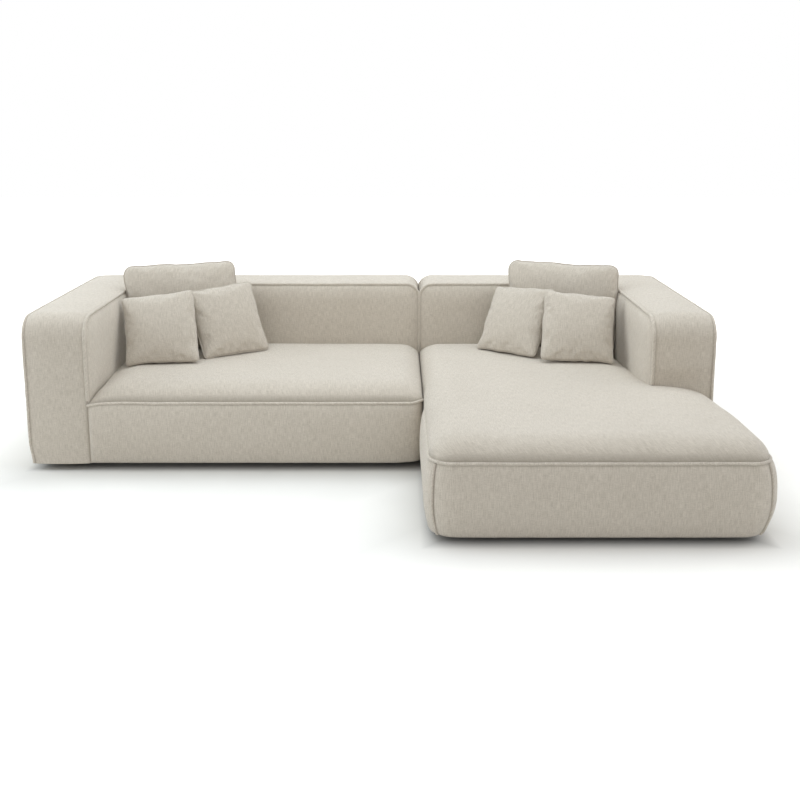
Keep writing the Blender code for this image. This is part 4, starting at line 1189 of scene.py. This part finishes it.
    def build(self, cloth: Material, cord: Material) -> list[Item]:
        """Makes the seat's cover, its welt and its corner seams.

        Args:
            cloth: The cover's finish.
            cord: The welts' finish.

        Returns:
            The pieces.
        """
        skin = Skin(f"{self.name}_seat_pad")
        points = self.top(skin)
        loop, normals = self.band(skin, points)
        cover = skin.build(cloth)
        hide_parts(*self.replaced)
        pieces = [cover, *self.welts(loop, normals, cord)]
        for piece in pieces:
            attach(piece, "sofa")
        return pieces

    def welts(self, loop: Array, normals: Array, cord: Material) -> list[Item]:
        """Makes the cords that are sewn in.

        Args:
            loop: The seam's points.
            normals: Their outward plan normals.
            cord: The welts' finish.

        Returns:
            The welt along the free edges, the one round the bottom, and one down each corner.
        """
        free = self.free(loop[:, :2], normals)
        share = self.welted(loop[:, :2], normals)
        order = np.roll(np.arange(len(loop)), len(loop) // 4)

        def stretch(shows: Array) -> Array:
            """The points from the first to the last that shows."""
            showing = np.nonzero(shows[order])[0]
            return order[showing[0] : showing[-1] + 1]

        chosen = stretch(share > 0.01)
        full = share[chosen]
        path = loop[chosen].copy()
        path[:, :2] += normals[chosen] * (0.0036 * full - 0.004 * (1 - full))[:, None]
        path[:, 2] += self.welt_rise
        welt = Welt(seed=self.seam * 40)
        pieces = [welt.build(f"{self.name}_seat_welt", path, cord, 0.15 + 0.85 * full)]
        chosen = stretch(free > 0.25)
        path = self.row(loop, normals, free, 1.0, 0.0004)[chosen]
        path[:, 2] += 0.0022
        fade = smoothstep(free[chosen], 0.25, 0.5)
        low = Welt(radius=0.0034, wander=0.0005, seed=self.seam * 55)
        pieces.append(low.build(f"{self.name}_lower_welt", path, cord, 0.2 + 0.8 * fade))
        for number, place in enumerate(self.corner_seams, 1):
            k = int(np.argmin(self.from_corners(loop, [place])))
            levels = np.linspace(0.02, 1.0, 60)
            line = np.array([self.row(loop, normals, free, level, 0.0012)[k] for level in levels])
            name = f"{self.name}_corner_welt_{number}"
            pieces.append(self.corner_welt.build(name, line, cord))
        return pieces


def crowded(start: float, stop: float, reach: float, first: int, last: int) -> Array:
    """A seat's rows or columns, which crowd together over a reach at both ends.

    Args:
        start: Where they start.
        stop: Where they end.
        reach: How far in from each end they do.
        first: How many steps that takes at the start.
        last: How many it takes at the end.

    Returns:
        Their positions.
    """
    return joined(
        eased(start, start + reach, first, ease_stop=False),
        spread(start + reach, stop - reach, SEAT_PITCH),
        eased(stop - reach, stop, last, ease_start=False),
    )


def rows_to_back(start: float, rear: float) -> Array:
    """A seat's last rows, which are closer where it goes in under the back."""
    close = rear - REAR_REACH
    return joined(spread(start, close, SEAT_PITCH), spread(close, rear, REAR_PITCH))


def left_seat(plan: SofaPlan) -> SeatPad:
    """The long module's seat, between its arm and the split."""
    x0 = plan.arm_thickness - plan.outer + plan.gap
    x1 = plan.split - plan.module_gap / 2
    y0, y1 = plan.seat_front, plan.back_face - plan.gap
    reach = plan.shoulder * 1.2
    xs = crowded(x0, x1, reach, 14, 14)
    ys = joined(eased(y0, y0 + reach, 14, ease_stop=False), rows_to_back(y0 + reach, y1))

    def free(points: Array, normals: Array) -> Array:
        """How far each point of the edge may swell."""
        fade = smoothstep(points[:, 0], x0, x0 + 0.02)
        fade = fade * (0.65 + 0.35 * smoothstep(x1 - points[:, 0], 0, 0.1))
        return np.clip(-normals[:, 1], 0.0, 1.0) ** 2 * fade

    def welted(points: Array, normals: Array) -> Array:
        """How full the welt is at each point of the edge."""
        return smoothstep(-normals[:, 1], 0.02, 0.30)

    return SeatPad(
        name="left",
        plan=plan,
        xs=xs,
        ys=ys,
        seam=plan.left_seam,
        notch=None,
        rounded={(x1, y0): 0.052, (x0, y1): plan.inner_corner_radius + 0.004},
        free=free,
        welted=welted,
        corner_seams=[],
        replaced=("left_seat_cover", "left_seat_foam"),
        tuck=0.010,
        droop=0.009,
        curl=0.008,
        fall=0.45,
        fall_reach=0.17,
    )


def chaise_seat(plan: SofaPlan) -> SeatPad:
    """The chaise: its right side follows the arm, turns round its front and runs forward."""
    x0, x1 = plan.split + plan.module_gap / 2, plan.chaise_side
    y0, y1 = plan.front, plan.back_face - plan.gap
    arm = plan.outer - plan.arm_thickness - 2 * plan.gap
    ahead = plan.seat_front - 2 * plan.gap
    reach = plan.shoulder * 1.2
    xs = joined(
        crowded(x0, arm, reach, 16, 14),
        eased(arm, arm + 0.10, 9, ease_stop=False),
        eased(arm + 0.10, x1, 18, ease_start=False),
    )
    ys = joined(
        crowded(y0, ahead, reach, 16, 14),
        eased(ahead, ahead + 0.10, 9, ease_stop=False),
        rows_to_back(ahead + 0.10, y1),
    )

    def free(points: Array, normals: Array) -> Array:
        """How far each point of the edge may swell."""
        x, y = points[:, 0], points[:, 1]
        left = 0.72 * (1 - smoothstep(y, plan.seat_front - 0.14, plan.seat_front - 0.05))
        right = 1.3 * (1 - smoothstep(y, ahead - 0.10, ahead - 0.01)) * (x > arm + 0.05)
        share = np.clip(-normals[:, 1], 0, 1) ** 2
        share = share + np.clip(-normals[:, 0], 0, 1) ** 2 * left
        share = share + np.clip(normals[:, 0], 0, 1) ** 2 * right
        near = np.minimum(np.abs(x - x0), np.abs(x - x1)) + np.abs(y - y0)
        return share * (0.85 + 0.15 * smoothstep(near, 0.0, 0.14))

    def welted(points: Array, normals: Array) -> Array:
        """How full the welt is at each point of the edge."""
        x, y = points[:, 0], points[:, 1]
        left = (-normals[:, 0] > 0.5) * (1 - smoothstep(y, y0 + 0.09, y0 + 0.20))
        right = (normals[:, 0] > 0.5) * (x > arm + 0.05)
        right = right * (1 - smoothstep(y, ahead - 0.05, ahead - 0.01))
        return np.maximum(np.maximum(left, right), smoothstep(-normals[:, 1], 0.3, 0.5))

    front_radius = 0.085
    drawn = front_radius * (1 - math.sqrt(0.5))
    return SeatPad(
        name="chaise",
        plan=plan,
        xs=xs,
        ys=ys,
        seam=plan.chaise_seam,
        notch=(arm, ahead),
        rounded={
            (x0, y0): front_radius,
            (x1, y0): front_radius,
            (x1, ahead): 0.030,
            (arm, y1): plan.inner_corner_radius + 0.004,
        },
        free=free,
        welted=welted,
        corner_seams=[(x0 + drawn, y0 + drawn), (x1 - drawn, y0 + drawn)],
        replaced=("right_seat_cover", "right_seat_foam"),
        held=0.85,
        fall=0.68,
        fall_reach=0.25,
        plain_from=y0 + 0.13,
    )


# Loose cushions


@dataclass(frozen=True)
class CushionShape:
    """One cut of loose cushion: its sizes in metres, and how its cover fills out.

    Attributes:
        fullness: The power that its height falls off by; less is fuller.
        pinch: The share of its half size that each side draws in at its middle.
        corner: The radius of its corners.
        wave: How far its sides stray from straight.
        slack: The share by which its cover is larger than its filling.
        forward: How far its lower seam comes forward.
    """

    width: float
    height: float
    thickness: float
    fullness: float
    pinch: float
    corner: float
    wave: float
    slack: float
    forward: float


class CushionKind(Enum):
    """The two cuts of loose cushion."""

    BACK = CushionShape(0.545, 0.420, 0.170, 0.30, 0.004, 0.046, 0.0040, 0.030, 0.010)
    THROW = CushionShape(0.340, 0.340, 0.115, 0.38, 0.009, 0.020, 0.0016, 0.022, 0.018)


@dataclass
class LooseCushion:
    """A filled cushion that leans in a corner; its folds come from the filling's pressure.

    Attributes:
        node: The frame's node that it stands for.
        yaw: Its turn to the side, in degrees, like lean and roll.
        aside: How far right of its node it lies.
        up: How far above its node it lies.
        count: How many points its cover has each way.
        voxel: The pitch at which its copy is meshed.
        pressure: What blows the copy up.
        frames: For how many frames it does.
        most: The furthest that a fold moves the cover.
        passes: How often the movement is evened out to find its slow part.
        keep: The share of the slow part that stays.
        cord_radius: The radius of its piping.
        lowest: The furthest that its lower edge is let down.
        clearance: How far above the seat it stays.
    """

    node: str
    kind: CushionKind
    yaw: float
    lean: float
    roll: float
    aside: float = 0.0
    up: float = 0.0
    count: int = 61
    voxel: float = 0.0055
    pressure: float = 4.0
    frames: int = 20
    most: float = 0.007
    passes: int = 60
    keep: float = 0.15
    cord_radius: float = 0.0034
    lowest: float = 0.022
    clearance: float = 0.0008

    def turn(self) -> Matrix:
        """The cushion's rotation."""
        turn = Matrix.Rotation(math.radians(self.yaw), 4, "Z")
        turn = turn @ Matrix.Rotation(math.radians(-self.lean), 4, "X")
        return turn @ Matrix.Rotation(math.radians(self.roll), 4, "Y")

    def wander(self, share: Array, seed: float) -> Array:
        """How an edge strays from straight along its length, from -1 to 1."""
        return 0.6 * np.sin(3.4 * share + 5 * seed) + 0.4 * np.sin(8.1 * share + 11 * seed)

    def outline(self, a: Array, b: Array) -> Pair:
        """The plan of the cushion: where the shares a and b of its half sizes lie."""
        cut = self.kind.value
        seed = hash_place(self.node)
        x, z = cut.width / 2 * a, cut.height / 2 * b
        u = np.clip(1 - (cut.width / 2 - np.abs(x)) / cut.corner, 0, 1)
        v = np.clip(1 - (cut.height / 2 - np.abs(z)) / cut.corner, 0, 1)
        x = x - np.sign(x) * cut.corner * u * (1 - np.sqrt(1 - v * v / 2))
        z = z - np.sign(z) * cut.corner * v * (1 - np.sqrt(1 - u * u / 2))
        stray_x = cut.wave * a**4 * self.wander(b, seed)
        stray_z = cut.wave * b**4 * self.wander(a, seed + 0.4 * (b > 0))
        x = x * (1 - cut.pinch * (1 - b * b)) + stray_x
        z = z * (1 - cut.pinch * (1 - a * a)) + stray_z
        return x, z

    def blank(self, cloth: Material) -> Item:
        """The filled shape before its cover finds its folds."""
        cut = self.kind.value
        even = np.linspace(-1, 1, self.count)
        steps = 0.7 * np.sin(even * np.pi / 2) + 0.3 * even
        a, b = np.meshgrid(steps, steps)
        x, z = self.outline(a, b)
        full = np.clip((1 - a * a) * (1 - b * b), 0, 1) ** cut.fullness
        middle = -cut.forward * smoothstep(-b, 0.45, 1.0) * (1 - full)
        skin = Skin(self.node + "_cover")
        for face in (-1, 1):
            grid = np.stack([x, middle + face * cut.thickness * 0.47 * full, z], -1)
            across, along = lengths(grid, 1), lengths(grid, 0)
            aside = np.minimum(across, across[:, -1:] - across)
            edge = np.minimum(aside, np.minimum(along, along[-1:] - along))
            skin.add(grid, np.stack([across + hash_place(self.node), along], -1), edge)
        return skin.build(cloth, sharp=SMOOTH)

    def inflate(self, copy: Item) -> Pair:
        """Blows up an evenly meshed copy of the cover, and returns its points before and after."""
        remesh = copy.modifiers.new("remesh", "REMESH")
        remesh.mode = "VOXEL"
        remesh.voxel_size = self.voxel
        bake_modifiers(copy)
        before = coordinates(copy.data)
        cloth = copy.modifiers.new("filling", "CLOTH")
        settings = cloth.settings
        settings.quality = 5
        settings.mass = 0.25
        settings.tension_stiffness = 8.0
        settings.compression_stiffness = 4.0
        settings.shear_stiffness = 3.0
        settings.bending_stiffness = 0.35
        settings.shrink_min = -self.kind.value.slack
        settings.use_pressure = True
        settings.uniform_pressure_force = self.pressure
        settings.effector_weights.gravity = 0.0
        cloth.collision_settings.use_collision = False
        cloth.collision_settings.use_self_collision = False
        cloth.point_cache.frame_start, cloth.point_cache.frame_end = 1, self.frames
        scene = bpy.context.scene
        for frame in range(self.frames):
            scene.frame_set(frame + 1)
        graph = bpy.context.evaluated_depsgraph_get()
        after = coordinates(copy.evaluated_get(graph).data)
        scene.frame_set(1)
        return before, after

    def plump(self, item: Item) -> None:
        """Lets the cover find its folds: it moves as its blown-up copy does, less at the seam."""
        copy = bpy.data.objects.new(self.node + "_filling", item.data.copy())
        bpy.context.scene.collection.objects.link(copy)
        before, after = self.inflate(copy)
        bpy.data.objects.remove(copy, do_unlink=True)
        tree = KDTree(len(before))
        for number, point in enumerate(before):
            tree.insert(point, number)
        tree.balance()
        rest = coordinates(item.data)
        step = np.zeros_like(rest)
        for number, point in enumerate(rest):
            near = tree.find_n(point, 8)
            share = np.array([1 / (distance**2 + 1e-6) for _, _, distance in near])
            step[number] = share @ (after - before)[[k for _, k, _ in near]] / share.sum()
        step = self.folds(item.data, step)
        step *= (0.35 + 0.65 * smoothstep(self.seam_share(item.data), 0.0, 0.7))[:, None]
        size = np.maximum(np.linalg.norm(step, axis=1, keepdims=True), 1e-9)
        step *= self.most * np.tanh(size / self.most) / size
        item.data.vertices.foreach_set("co", (rest + step).astype(np.float32).ravel())
        item.data.update()

    def folds(self, mesh: Mesh, step: Array) -> Array:
        """Keeps a movement's folds and takes out most of its slow part, which is the cut's own.

        Args:
            mesh: The cover.
            step: How far each of its points moves.

        Returns:
            The movement that is left.
        """
        ends = np.zeros(len(mesh.edges) * 2, np.int32)
        mesh.edges.foreach_get("vertices", ends)
        first, second = ends.reshape(-1, 2).T
        count = np.bincount(ends, minlength=len(step))[:, None]
        slow = step
        for _ in range(self.passes):
            total = np.zeros_like(slow)
            np.add.at(total, first, slow[second])
            np.add.at(total, second, slow[first])
            slow = 0.5 * slow + 0.5 * total / count
        return step - (1 - self.keep) * slow

    def seam_share(self, mesh: Mesh) -> Array:
        """Each point's distance from the seam, from 0 at the seam to 1."""
        values = np.zeros(len(mesh.vertices), np.float32)
        mesh.attributes[SEAM].data.foreach_get("value", values)
        return values.astype(float)

    def build(self, cloth: Material, cord: Material, seat: BVHTree) -> list[Item]:
        """Makes the cushion and its welt.

        Args:
            cloth: The cover's finish.
            cord: The welt's finish.
            seat: The seat that it stands on.

        Returns:
            The pieces.
        """
        low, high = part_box(self.node)
        item = self.blank(cloth)
        self.plump(item)
        smooth = item.modifiers.new("smooth", "SUBSURF")
        smooth.levels = smooth.render_levels = 1
        bake_modifiers(item)
        mesh = item.data
        points = coordinates(mesh)
        middle = (low + high) / 2 + Vector((self.aside, 0.0, self.up))
        place = np.array(Matrix.Translation(middle) @ self.turn())
        world = points @ place[:3, :3].T + place[:3, 3]
        self.settle(world, points, seat)
        mesh.vertices.foreach_set("co", world.astype(np.float32).ravel())
        mesh.shade_smooth()
        mesh.update()
        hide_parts(self.node)
        pieces = [item, self.piping(mesh, points, cord)]
        for piece in pieces:
            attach(piece, self.node + "_body")
        return pieces

    def settle(self, world: Array, points: Array, seat: BVHTree) -> None:
        """Lets the lower edge down onto the seat, and flattens what would sink into it.

        Args:
            world: The cover's points, which it moves.
            points: The same points in the cushion's own axes.
            seat: The seat that it stands on.
        """
        cut = self.kind.value
        under = np.full(len(world), -1.0)
        for number, point in enumerate(world):
            hit = seat.ray_cast(Vector((point[0], point[1], 1.0)), Vector((0, 0, -1)))[0]
            if hit is not None:
                under[number] = hit.z + self.clearance
        share = points[:, 0] / (cut.width / 2)
        lower = -points[:, 2] / (cut.height / 2)
        places = np.linspace(-1, 1, 15)
        gaps = []
        for place in places:
            near = (np.abs(share - place) < 0.1) & (lower > 0.8) & (under > 0)
            gaps.append((world[near, 2] - under[near]).min() if near.any() else 0.0)
        down = np.clip(np.interp(share, places, gaps), 0.0, self.lowest)
        world[:, 2] -= down * smoothstep(lower, 0.30, 1.0)
        world[:, 2] = np.maximum(world[:, 2], under)

    def piping(self, mesh: Mesh, points: Array, cord: Material) -> Item:
        """The welt along the cover's seam, as it has settled.

        Args:
            mesh: The finished cover.
            points: Its points in the cushion's own axes, before it settled.
            cord: The welt's finish.

        Returns:
            The piping.
        """
        cut = self.kind.value
        seam = np.nonzero(self.seam_share(mesh) < 1e-4)[0]
        angle = np.arctan2(points[seam, 2] / cut.height, points[seam, 0] / cut.width)
        seam = seam[np.argsort(angle)]
        out = coordinates(mesh, "normal")[seam] * self.cord_radius * 0.45
        path = coordinates(mesh)[seam] + out
        path = (np.roll(path, 1, 0) + 2 * path + np.roll(path, -1, 0)) / 4
        welt = Welt(radius=self.cord_radius, wander=0.0006, sides=8)
        return welt.build(self.node + "_piping", path, cord, closed=True)


def hash_place(word: str) -> float:
    """A steady offset in the cloth for a piece, so that no two are cut alike."""
    return (sum(ord(letter) * k for k, letter in enumerate(word, 1)) % 97) * 0.031


def coordinates(mesh: Mesh, what: str = "co") -> Array:
    """A mesh's points, or their normals."""
    flat = np.zeros(len(mesh.vertices) * 3, np.float32)
    mesh.vertices.foreach_get(what, flat)
    return flat.reshape(-1, 3).astype(float)


def bake_modifiers(item: Item) -> None:
    """Turns an object's modifiers into its mesh."""
    graph = bpy.context.evaluated_depsgraph_get()
    mesh = bpy.data.meshes.new_from_object(item.evaluated_get(graph))
    item.modifiers.clear()
    item.data = mesh


# Underneath and inside


@dataclass(frozen=True)
class DustCloth:
    """A black cloth stretched under one module and stapled to its rails."""

    side: Side
    pitch: float = 0.02
    sag: float = 0.0025
    wave: float = 0.0004

    def build(self, finish: Material) -> Item:
        """Makes the cloth where the frame's plain one lies."""
        node = f"{self.side.word}_dust_cloth"
        low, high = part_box(node)
        x, y = np.meshgrid(spread(low.x, high.x, self.pitch), spread(low.y, high.y, self.pitch))
        across = (x - low.x) / (high.x - low.x)
        along = (y - low.y) / (high.y - low.y)
        loose = bow(across) * bow(along)
        z = (low.z + high.z) / 2 - self.sag * np.sqrt(loose)
        z = z - self.wave * ripple(np.stack([x, y, z], -1), 9.0, 5.0) * loose
        skin = Skin(f"{self.side.word}_dust_sheet")
        skin.add(np.stack([x, y, z], -1), np.stack([x, y], -1))
        sheet = skin.build(finish)
        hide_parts(node)
        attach(sheet, "sofa")
        return sheet


@dataclass
class FrameDress:
    """Gives the frame's own nodes their finishes, by the slot of each."""

    nodes: dict[str, Item]
    slots: dict[str, str]

    def build(self) -> int:
        """Puts a finish on each node that still shows, and returns how many."""
        tape = WovenTape("webbing", (0.10, 0.095, 0.09), (0.035, 0.033, 0.03), 0.0016)
        kinds = (SawnTimber(), ChipBoard(), ZincSteel(), MouldedPlastic(), tape)
        finishes = {kind.name: kind.make() for kind in kinds}
        count = 0
        for name, node in self.nodes.items():
            finish = finishes.get(self.slots[name])
            if node.hide_render or finish is None:
                continue
            node.data.materials.clear()
            node.data.materials.append(finish)
            count += 1
        return count


# Floor, light and camera


@dataclass(frozen=True)
class Lamp:
    """One large soft lamp: where it hangs, what it points at, its size and its watts."""

    name: str
    place: Triple
    target: Triple
    size: tuple[float, float]
    power: float
    colour: Colour = (1.0, 1.0, 1.0)

    def hang(self) -> None:
        """Puts the lamp in the scene."""
        light = bpy.data.lights.new(self.name, "AREA")
        light.color = self.colour
        light.shape = "RECTANGLE"
        light.size, light.size_y = self.size
        light.energy = self.power
        item = bpy.data.objects.new(self.name, light)
        item.location = self.place
        way = Vector(self.target) - Vector(self.place)
        item.rotation_mode = "QUATERNION"
        item.rotation_quaternion = way.to_track_quat("-Z", "Y")
        bpy.context.scene.collection.objects.link(item)


@dataclass
class Studio:
    """A white floor, soft light from above, both sides and the front, and the camera.

    Attributes:
        ambient: The strength of the even light.
        floor_glow: The most that the floor shines of its own, so that it ends in white.
        fade: How far from the sofa that is reached.
        floor_lines: Where the lines of the floor's mesh lie, both ways.
        floor_level: Its height, a little below the feet.
        floor_tones: Its two colours.
        shade: The colour of the painted shadow on the floor under the sofa.
        cool: The colour of the lamps that give a cooler light.
        eye: The camera's place.
        tilt: How far it is tipped up from looking straight down, in degrees.
        lens: Its focal length in millimetres.
        shift: How far its picture is shifted, as shares of its width.
    """

    plan: SofaPlan
    ambient: float = 0.66
    floor_glow: float = 0.9
    fade: float = 1.5
    floor_lines: tuple[float, ...] = (-14.0, -5.0, 5.0, 14.0)
    floor_level: float = -0.0005
    floor_tones: tuple[Colour, Colour] = ((0.765, 0.76, 0.735), (0.785, 0.78, 0.755))
    shade: Colour = (0.50, 0.50, 0.49)
    cool: Colour = (0.88, 0.955, 1.0)
    eye: Triple = (0.116, -4.3665, 1.55)
    tilt: float = 79.0
    lens: float = 45.0
    shift: tuple[float, float] = (0.005, -0.117)

    def reach(self, finish: Finish, seat: float, chaise: float) -> Socket:
        """How far a place on the floor is from the sofa, in metres.

        Args:
            finish: The floor's finish.
            seat: How far behind the left seat's front the sofa is taken to start.
            chaise: The same for the chaise.

        Returns:
            The distance, below zero under the sofa.
        """
        plan = self.plan
        axes = finish.axes(finish.place())
        boxes = (
            ((-plan.outer, plan.outer), (plan.seat_front + seat, plan.rear)),
            ((plan.split, plan.outer), (plan.front + chaise, plan.rear)),
        )
        ways = []
        for box in boxes:
            sides = []
            for axis, (low, high) in zip(axes, box):
                off = finish.sum("ABSOLUTE", finish.sum("SUBTRACT", axis, (low + high) / 2))
                sides.append(finish.sum("SUBTRACT", off, (high - low) / 2))
            ways.append(finish.sum("MAXIMUM", *sides))
        return finish.sum("MINIMUM", *ways)

    def floor(self) -> None:
        """A wide pale floor that shows the sofa's shadow, with a painted shadow under the sofa,
        and fades to white.
        """
        skin = Skin("studio_floor")
        x, y = np.meshgrid(self.floor_lines, self.floor_lines)
        skin.add(np.stack([x, y, 0 * x + self.floor_level], -1), np.stack([x, y], -1))
        finish = Finish("studio_floor")
        grain = finish.noise(finish.place(), 3.0)
        colour = finish.blend(finish.remap(grain, 0.3, 0.7, 0, 1), *self.floor_tones)
        # Painted shadow: the floor's colour turns darker under the sofa, and there it gives no
        # glow.
        painted_shadow_mask = finish.remap(self.reach(finish, 0.0, 0.0), -0.05, 0.03, 1.0, 0.0)
        colour = finish.blend(painted_shadow_mask, colour, self.shade)
        finish.constant(Specular_IOR_Level=0.0, Emission_Color=(1, 1, 1, 1))
        finish.done(colour, finish.remap(grain, 0.3, 0.7, 0.9, 1.0))
        glow = finish.remap(self.reach(finish, -0.10, 0.19), 0.0, self.fade, 0.0, self.floor_glow)
        glow = finish.sum("MULTIPLY", glow, finish.remap(painted_shadow_mask, 0.0, 1.0, 1.0, 0.0))
        glow = finish.sum("MULTIPLY", glow, finish.seen_straight())
        finish.feed(finish.shader.inputs["Emission Strength"], glow)
        skin.build(finish.material)

    def world(self) -> None:
        """White where the camera looks past the floor, and an even light elsewhere."""
        world = bpy.data.worlds.new("studio")
        world.use_nodes = True
        bpy.context.scene.world = world
        nodes = Nodes(world.node_tree)
        back = nodes.tree.nodes["Background"].inputs
        back["Color"].default_value = (1, 1, 1, 1)
        level = nodes.remap(nodes.seen_straight(), 0.0, 1.0, self.ambient, 1.0)
        nodes.feed(back["Strength"], level)

    def lamps(self) -> None:
        """Hangs the four lamps."""
        middle = (0.0, 0.0, 0.3)
        for lamp in (
            Lamp("overhead", (0.0, 0.5, 3.6), middle, (4.5, 3.0), 80.0, self.cool),
            Lamp("front", (0.0, -5.2, 3.0), (0.0, 0.5, 0.5), (4.0, 2.0), 12.0),
            Lamp("left_side", (-4.2, 0.0, 2.0), middle, (2.6, 2.6), 62.0, self.cool),
            Lamp("right_side", (4.4, 0.2, 2.2), (0.0, 0.1, 0.3), (2.6, 2.6), 34.0),
        ):
            lamp.hang()

    def camera(self) -> None:
        """The photograph's point of view."""
        data = bpy.data.cameras.new("camera")
        data.lens, data.sensor_width = self.lens, 36.0
        data.shift_x, data.shift_y = self.shift
        item = bpy.data.objects.new("camera", data)
        item.location = self.eye
        item.rotation_euler = (math.radians(self.tilt), 0.0, 0.0)
        bpy.context.scene.collection.objects.link(item)
        bpy.context.scene.camera = item

    def build(self) -> None:
        """Sets up the floor, the light and the camera."""
        self.floor()
        self.world()
        self.lamps()
        self.camera()
        bpy.context.scene.view_settings.view_transform = "Standard"


@dataclass
class CornerSofa:
    """The whole sofa, from its walls and seats to its loose cushions and dust cloths."""

    plan: SofaPlan = field(default_factory=SofaPlan)

    def cushions(self) -> list[LooseCushion]:
        """The loose cushions with the way each leans."""
        back, throw = CushionKind.BACK, CushionKind.THROW
        return [
            LooseCushion("left_back_cushion", back, 17.0, 13.0, -1.0, aside=-0.010, up=0.006),
            LooseCushion("right_back_cushion", back, -14.0, 13.0, 1.0, aside=0.009, up=-0.008),
            LooseCushion("left_pillow_inner", throw, 32.0, 25.5, -4.0),
            LooseCushion("left_pillow_outer", throw, 4.0, 29.5, -7.0),
            LooseCushion("right_pillow_inner", throw, -42.5, 32.5, -4.5, aside=0.007, up=0.003),
            LooseCushion("right_pillow_outer", throw, 0.0, 34.0, 7.0),
        ]

    def build(self, frame: dict) -> None:
        """Makes every piece and reports it.
        """
        cloth = MelangeCloth().make()
        # The welts' light yarn is lighter than the cover's: a painted highlight on the cords.
        cord = MelangeCloth(
            "welt_cloth", light=(0.752, 0.692, 0.604), turn=45.0, gather_depth=0.0008
        ).make()
        # The loose cushions get a darker copy of the cover cloth: painted shade, as they sit deep
        # in the corner.
        loose = MelangeCloth(
            "cushion_cloth", light=(0.670, 0.613, 0.530), dark=(0.500, 0.449, 0.377)
        ).make()
        for side in Side:
            self.report(ArmAndBack(side, self.plan).build(cloth, cord))
        trees = {}
        for side, seat in ((Side.LEFT, left_seat), (Side.RIGHT, chaise_seat)):
            pieces = seat(self.plan).build(cloth, cord)
            self.report(pieces)
            mesh = pieces[0].data
            trees[side.word] = BVHTree.FromPolygons(
                [v.co for v in mesh.vertices], [tuple(p.vertices) for p in mesh.polygons]
            )
        for cushion in self.cushions():
            self.report(cushion.build(loose, loose, trees[cushion.node.split("_")[0]]))
        black = WovenTape("dust_cloth", (0.05, 0.05, 0.05), (0.02, 0.02, 0.02), 0.0009).make()
        self.report([DustCloth(side).build(black) for side in Side])
        slots = {row["node"]: row["material_slot"] for row in frame["record"]["subparts"]}
        LOG.info("frame nodes dressed: %d", FrameDress(frame["nodes"], slots).build())

    def report(self, pieces: list[Item]) -> None:
        """Logs each piece and its number of faces."""
        for piece in pieces:
            LOG.info("%s: %d faces", piece.name, len(piece.data.polygons))


def main() -> None:
    """Dresses the sofa and sets up the studio."""
    logging.basicConfig(level=logging.INFO, format="%(message)s")
    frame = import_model()
    for item in [o for o in bpy.data.objects if o.type in ("CAMERA", "LIGHT")]:
        bpy.data.objects.remove(item, do_unlink=True)
    sofa = CornerSofa()
    sofa.build(frame)
    Studio(sofa.plan).build()


if __name__ == "__main__":
    main()
